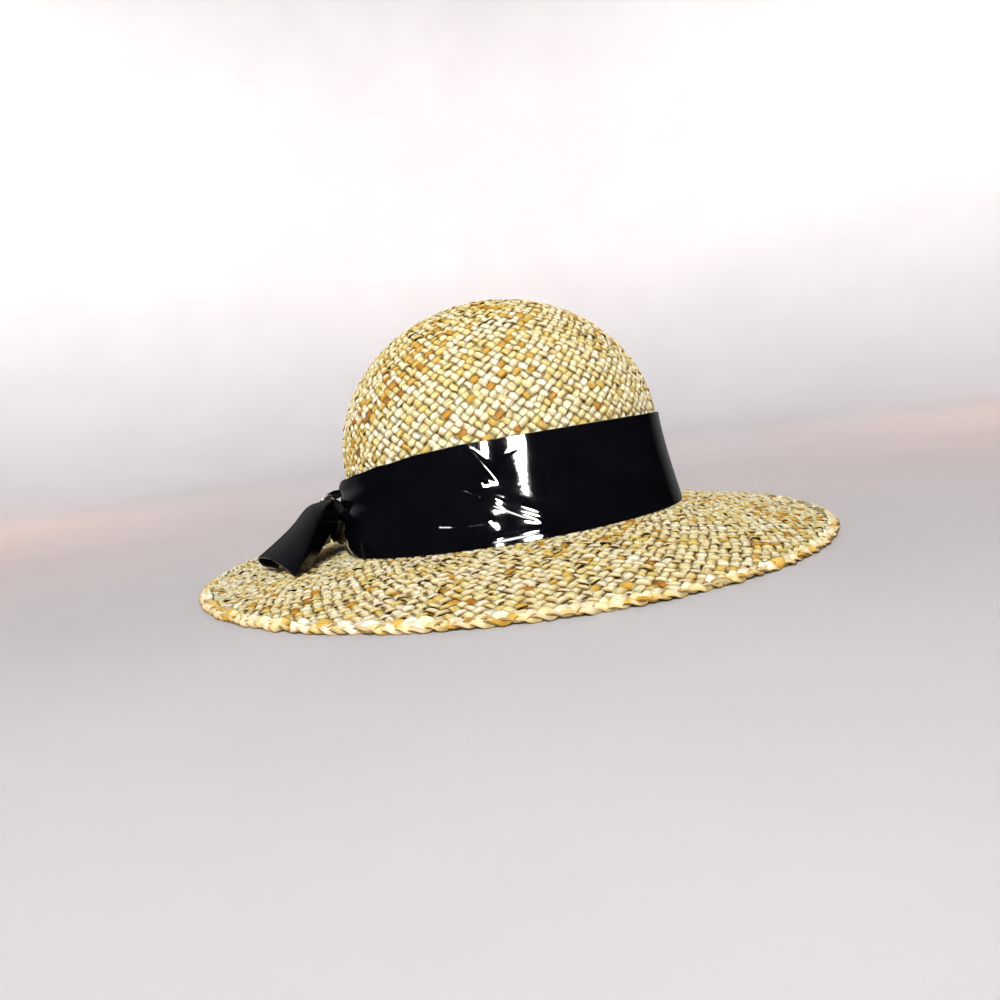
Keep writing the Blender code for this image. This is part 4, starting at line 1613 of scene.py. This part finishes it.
# Columns: shape, place, width and height, watts, colour, where it faces, what it lights
LIGHTS = {
    "window_left": (
        "ELLIPSE", (-0.20, -1.29, 0.170), (0.08, 0.23), 6.0, WINDOW_WHITE, HAT_MIDDLE, "gloss"),
    "window_right": (
        "ELLIPSE", (0.23, -1.28, 0.180), (0.24, 0.24), 14.0, WINDOW_WHITE, HAT_MIDDLE, "gloss"),
    "low_card": (
        "RECTANGLE", (-0.15, -1.25, -0.13), (1.9, 0.26), 22.0, (1.0, 1.0, 1.0), HAT_MIDDLE, "gloss"),
    "front_top": (
        "RECTANGLE", (-0.10, -1.10, 0.76), (0.4, 0.3), 14.6, (0.99, 1.0, 1.0), HAT_MIDDLE, "all"),
    "overhead": (
        "RECTANGLE", (0.05, 0.15, 1.55), (1.1, 0.8), 0.9, (1.0, 0.86, 0.74), HAT_MIDDLE, "all"),
    "warm_left": (
        "RECTANGLE", (-1.05, 0.45, 0.40), (0.4, 0.4), 1.9, WARM_ORANGE, HAT_MIDDLE, "matt"),
    "warm_right": (
        "RECTANGLE", (1.05, 0.45, 0.40), (0.4, 0.4), 1.9, WARM_ORANGE, HAT_MIDDLE, "matt"),
    "wall_left": (
        "RECTANGLE", (-0.75, 0.35, 1.10), (1.2, 0.2), 7.0, COOL_WHITE, (-0.95, 1.25, 0.55), "matt"),
    "wall_right": (
        "RECTANGLE", (0.75, 0.35, 1.10), (1.2, 0.2), 7.0, COOL_WHITE, (0.95, 1.25, 0.55), "matt"),
}


def add_light(name, shape, place, size, power, colour, aim, lights_up):
    """A soft area of light, seen by the gloss, by the matt surfaces or by both."""
    data = bpy.data.lights.new(name, "AREA")
    data.shape = shape
    data.size, data.size_y = size
    data.energy = power
    data.color = colour
    light = bpy.data.objects.new(name, data)
    light.location = place
    facing = Vector(aim) - Vector(place)
    light.rotation_euler = facing.to_track_quat("-Z", "Y").to_euler()
    light.visible_camera = False
    light.visible_glossy = lights_up != "matt"
    light.visible_diffuse = lights_up != "gloss"
    bpy.context.scene.collection.objects.link(light)


for name, row in LIGHTS.items():
    add_light(name, *row)
print("lights:", list(LIGHTS))

# %% The dim room
ROOM_GREY = (0.0035, 0.0038, 0.0040)
# Columns: direction of a soft patch of light in the room, where it starts (1 is its
# middle), and its strength
ROOM_PATCHES = (
    ((-0.60, 0.76, 0.26), 0.80, 0.15),
    ((0.50, 0.866, 0.05), 0.90, 0.15),
)


def make_room(name):
    """A dark world with soft grey patches, which show in the gloss of the ribbon."""
    world = bpy.data.worlds.new(name)
    world.use_nodes = True
    tree = world.node_tree
    direction = tree.nodes.new("ShaderNodeTexCoord").outputs["Generated"]
    total = ROOM_GREY
    for towards, start, strength in ROOM_PATCHES:
        dot = tree.nodes.new("ShaderNodeVectorMath")
        dot.operation = "DOT_PRODUCT"
        dot.inputs[1].default_value = Vector(towards).normalized()
        tree.links.new(direction, dot.inputs[0])
        stops = ((start, grey(0.0)), (1.0, grey(strength)))
        total = add_mix(tree, 1.0, total, add_ramp(tree, dot.outputs["Value"], stops), "ADD")
    tree.links.new(total, tree.nodes["Background"].inputs["Color"])
    bpy.context.scene.world = world
    return world


room = make_room("dim_room")
bpy.context.scene.view_settings.view_transform = "Standard"
bpy.context.scene.view_settings.look = "Medium High Contrast"
print("world:", room.name)
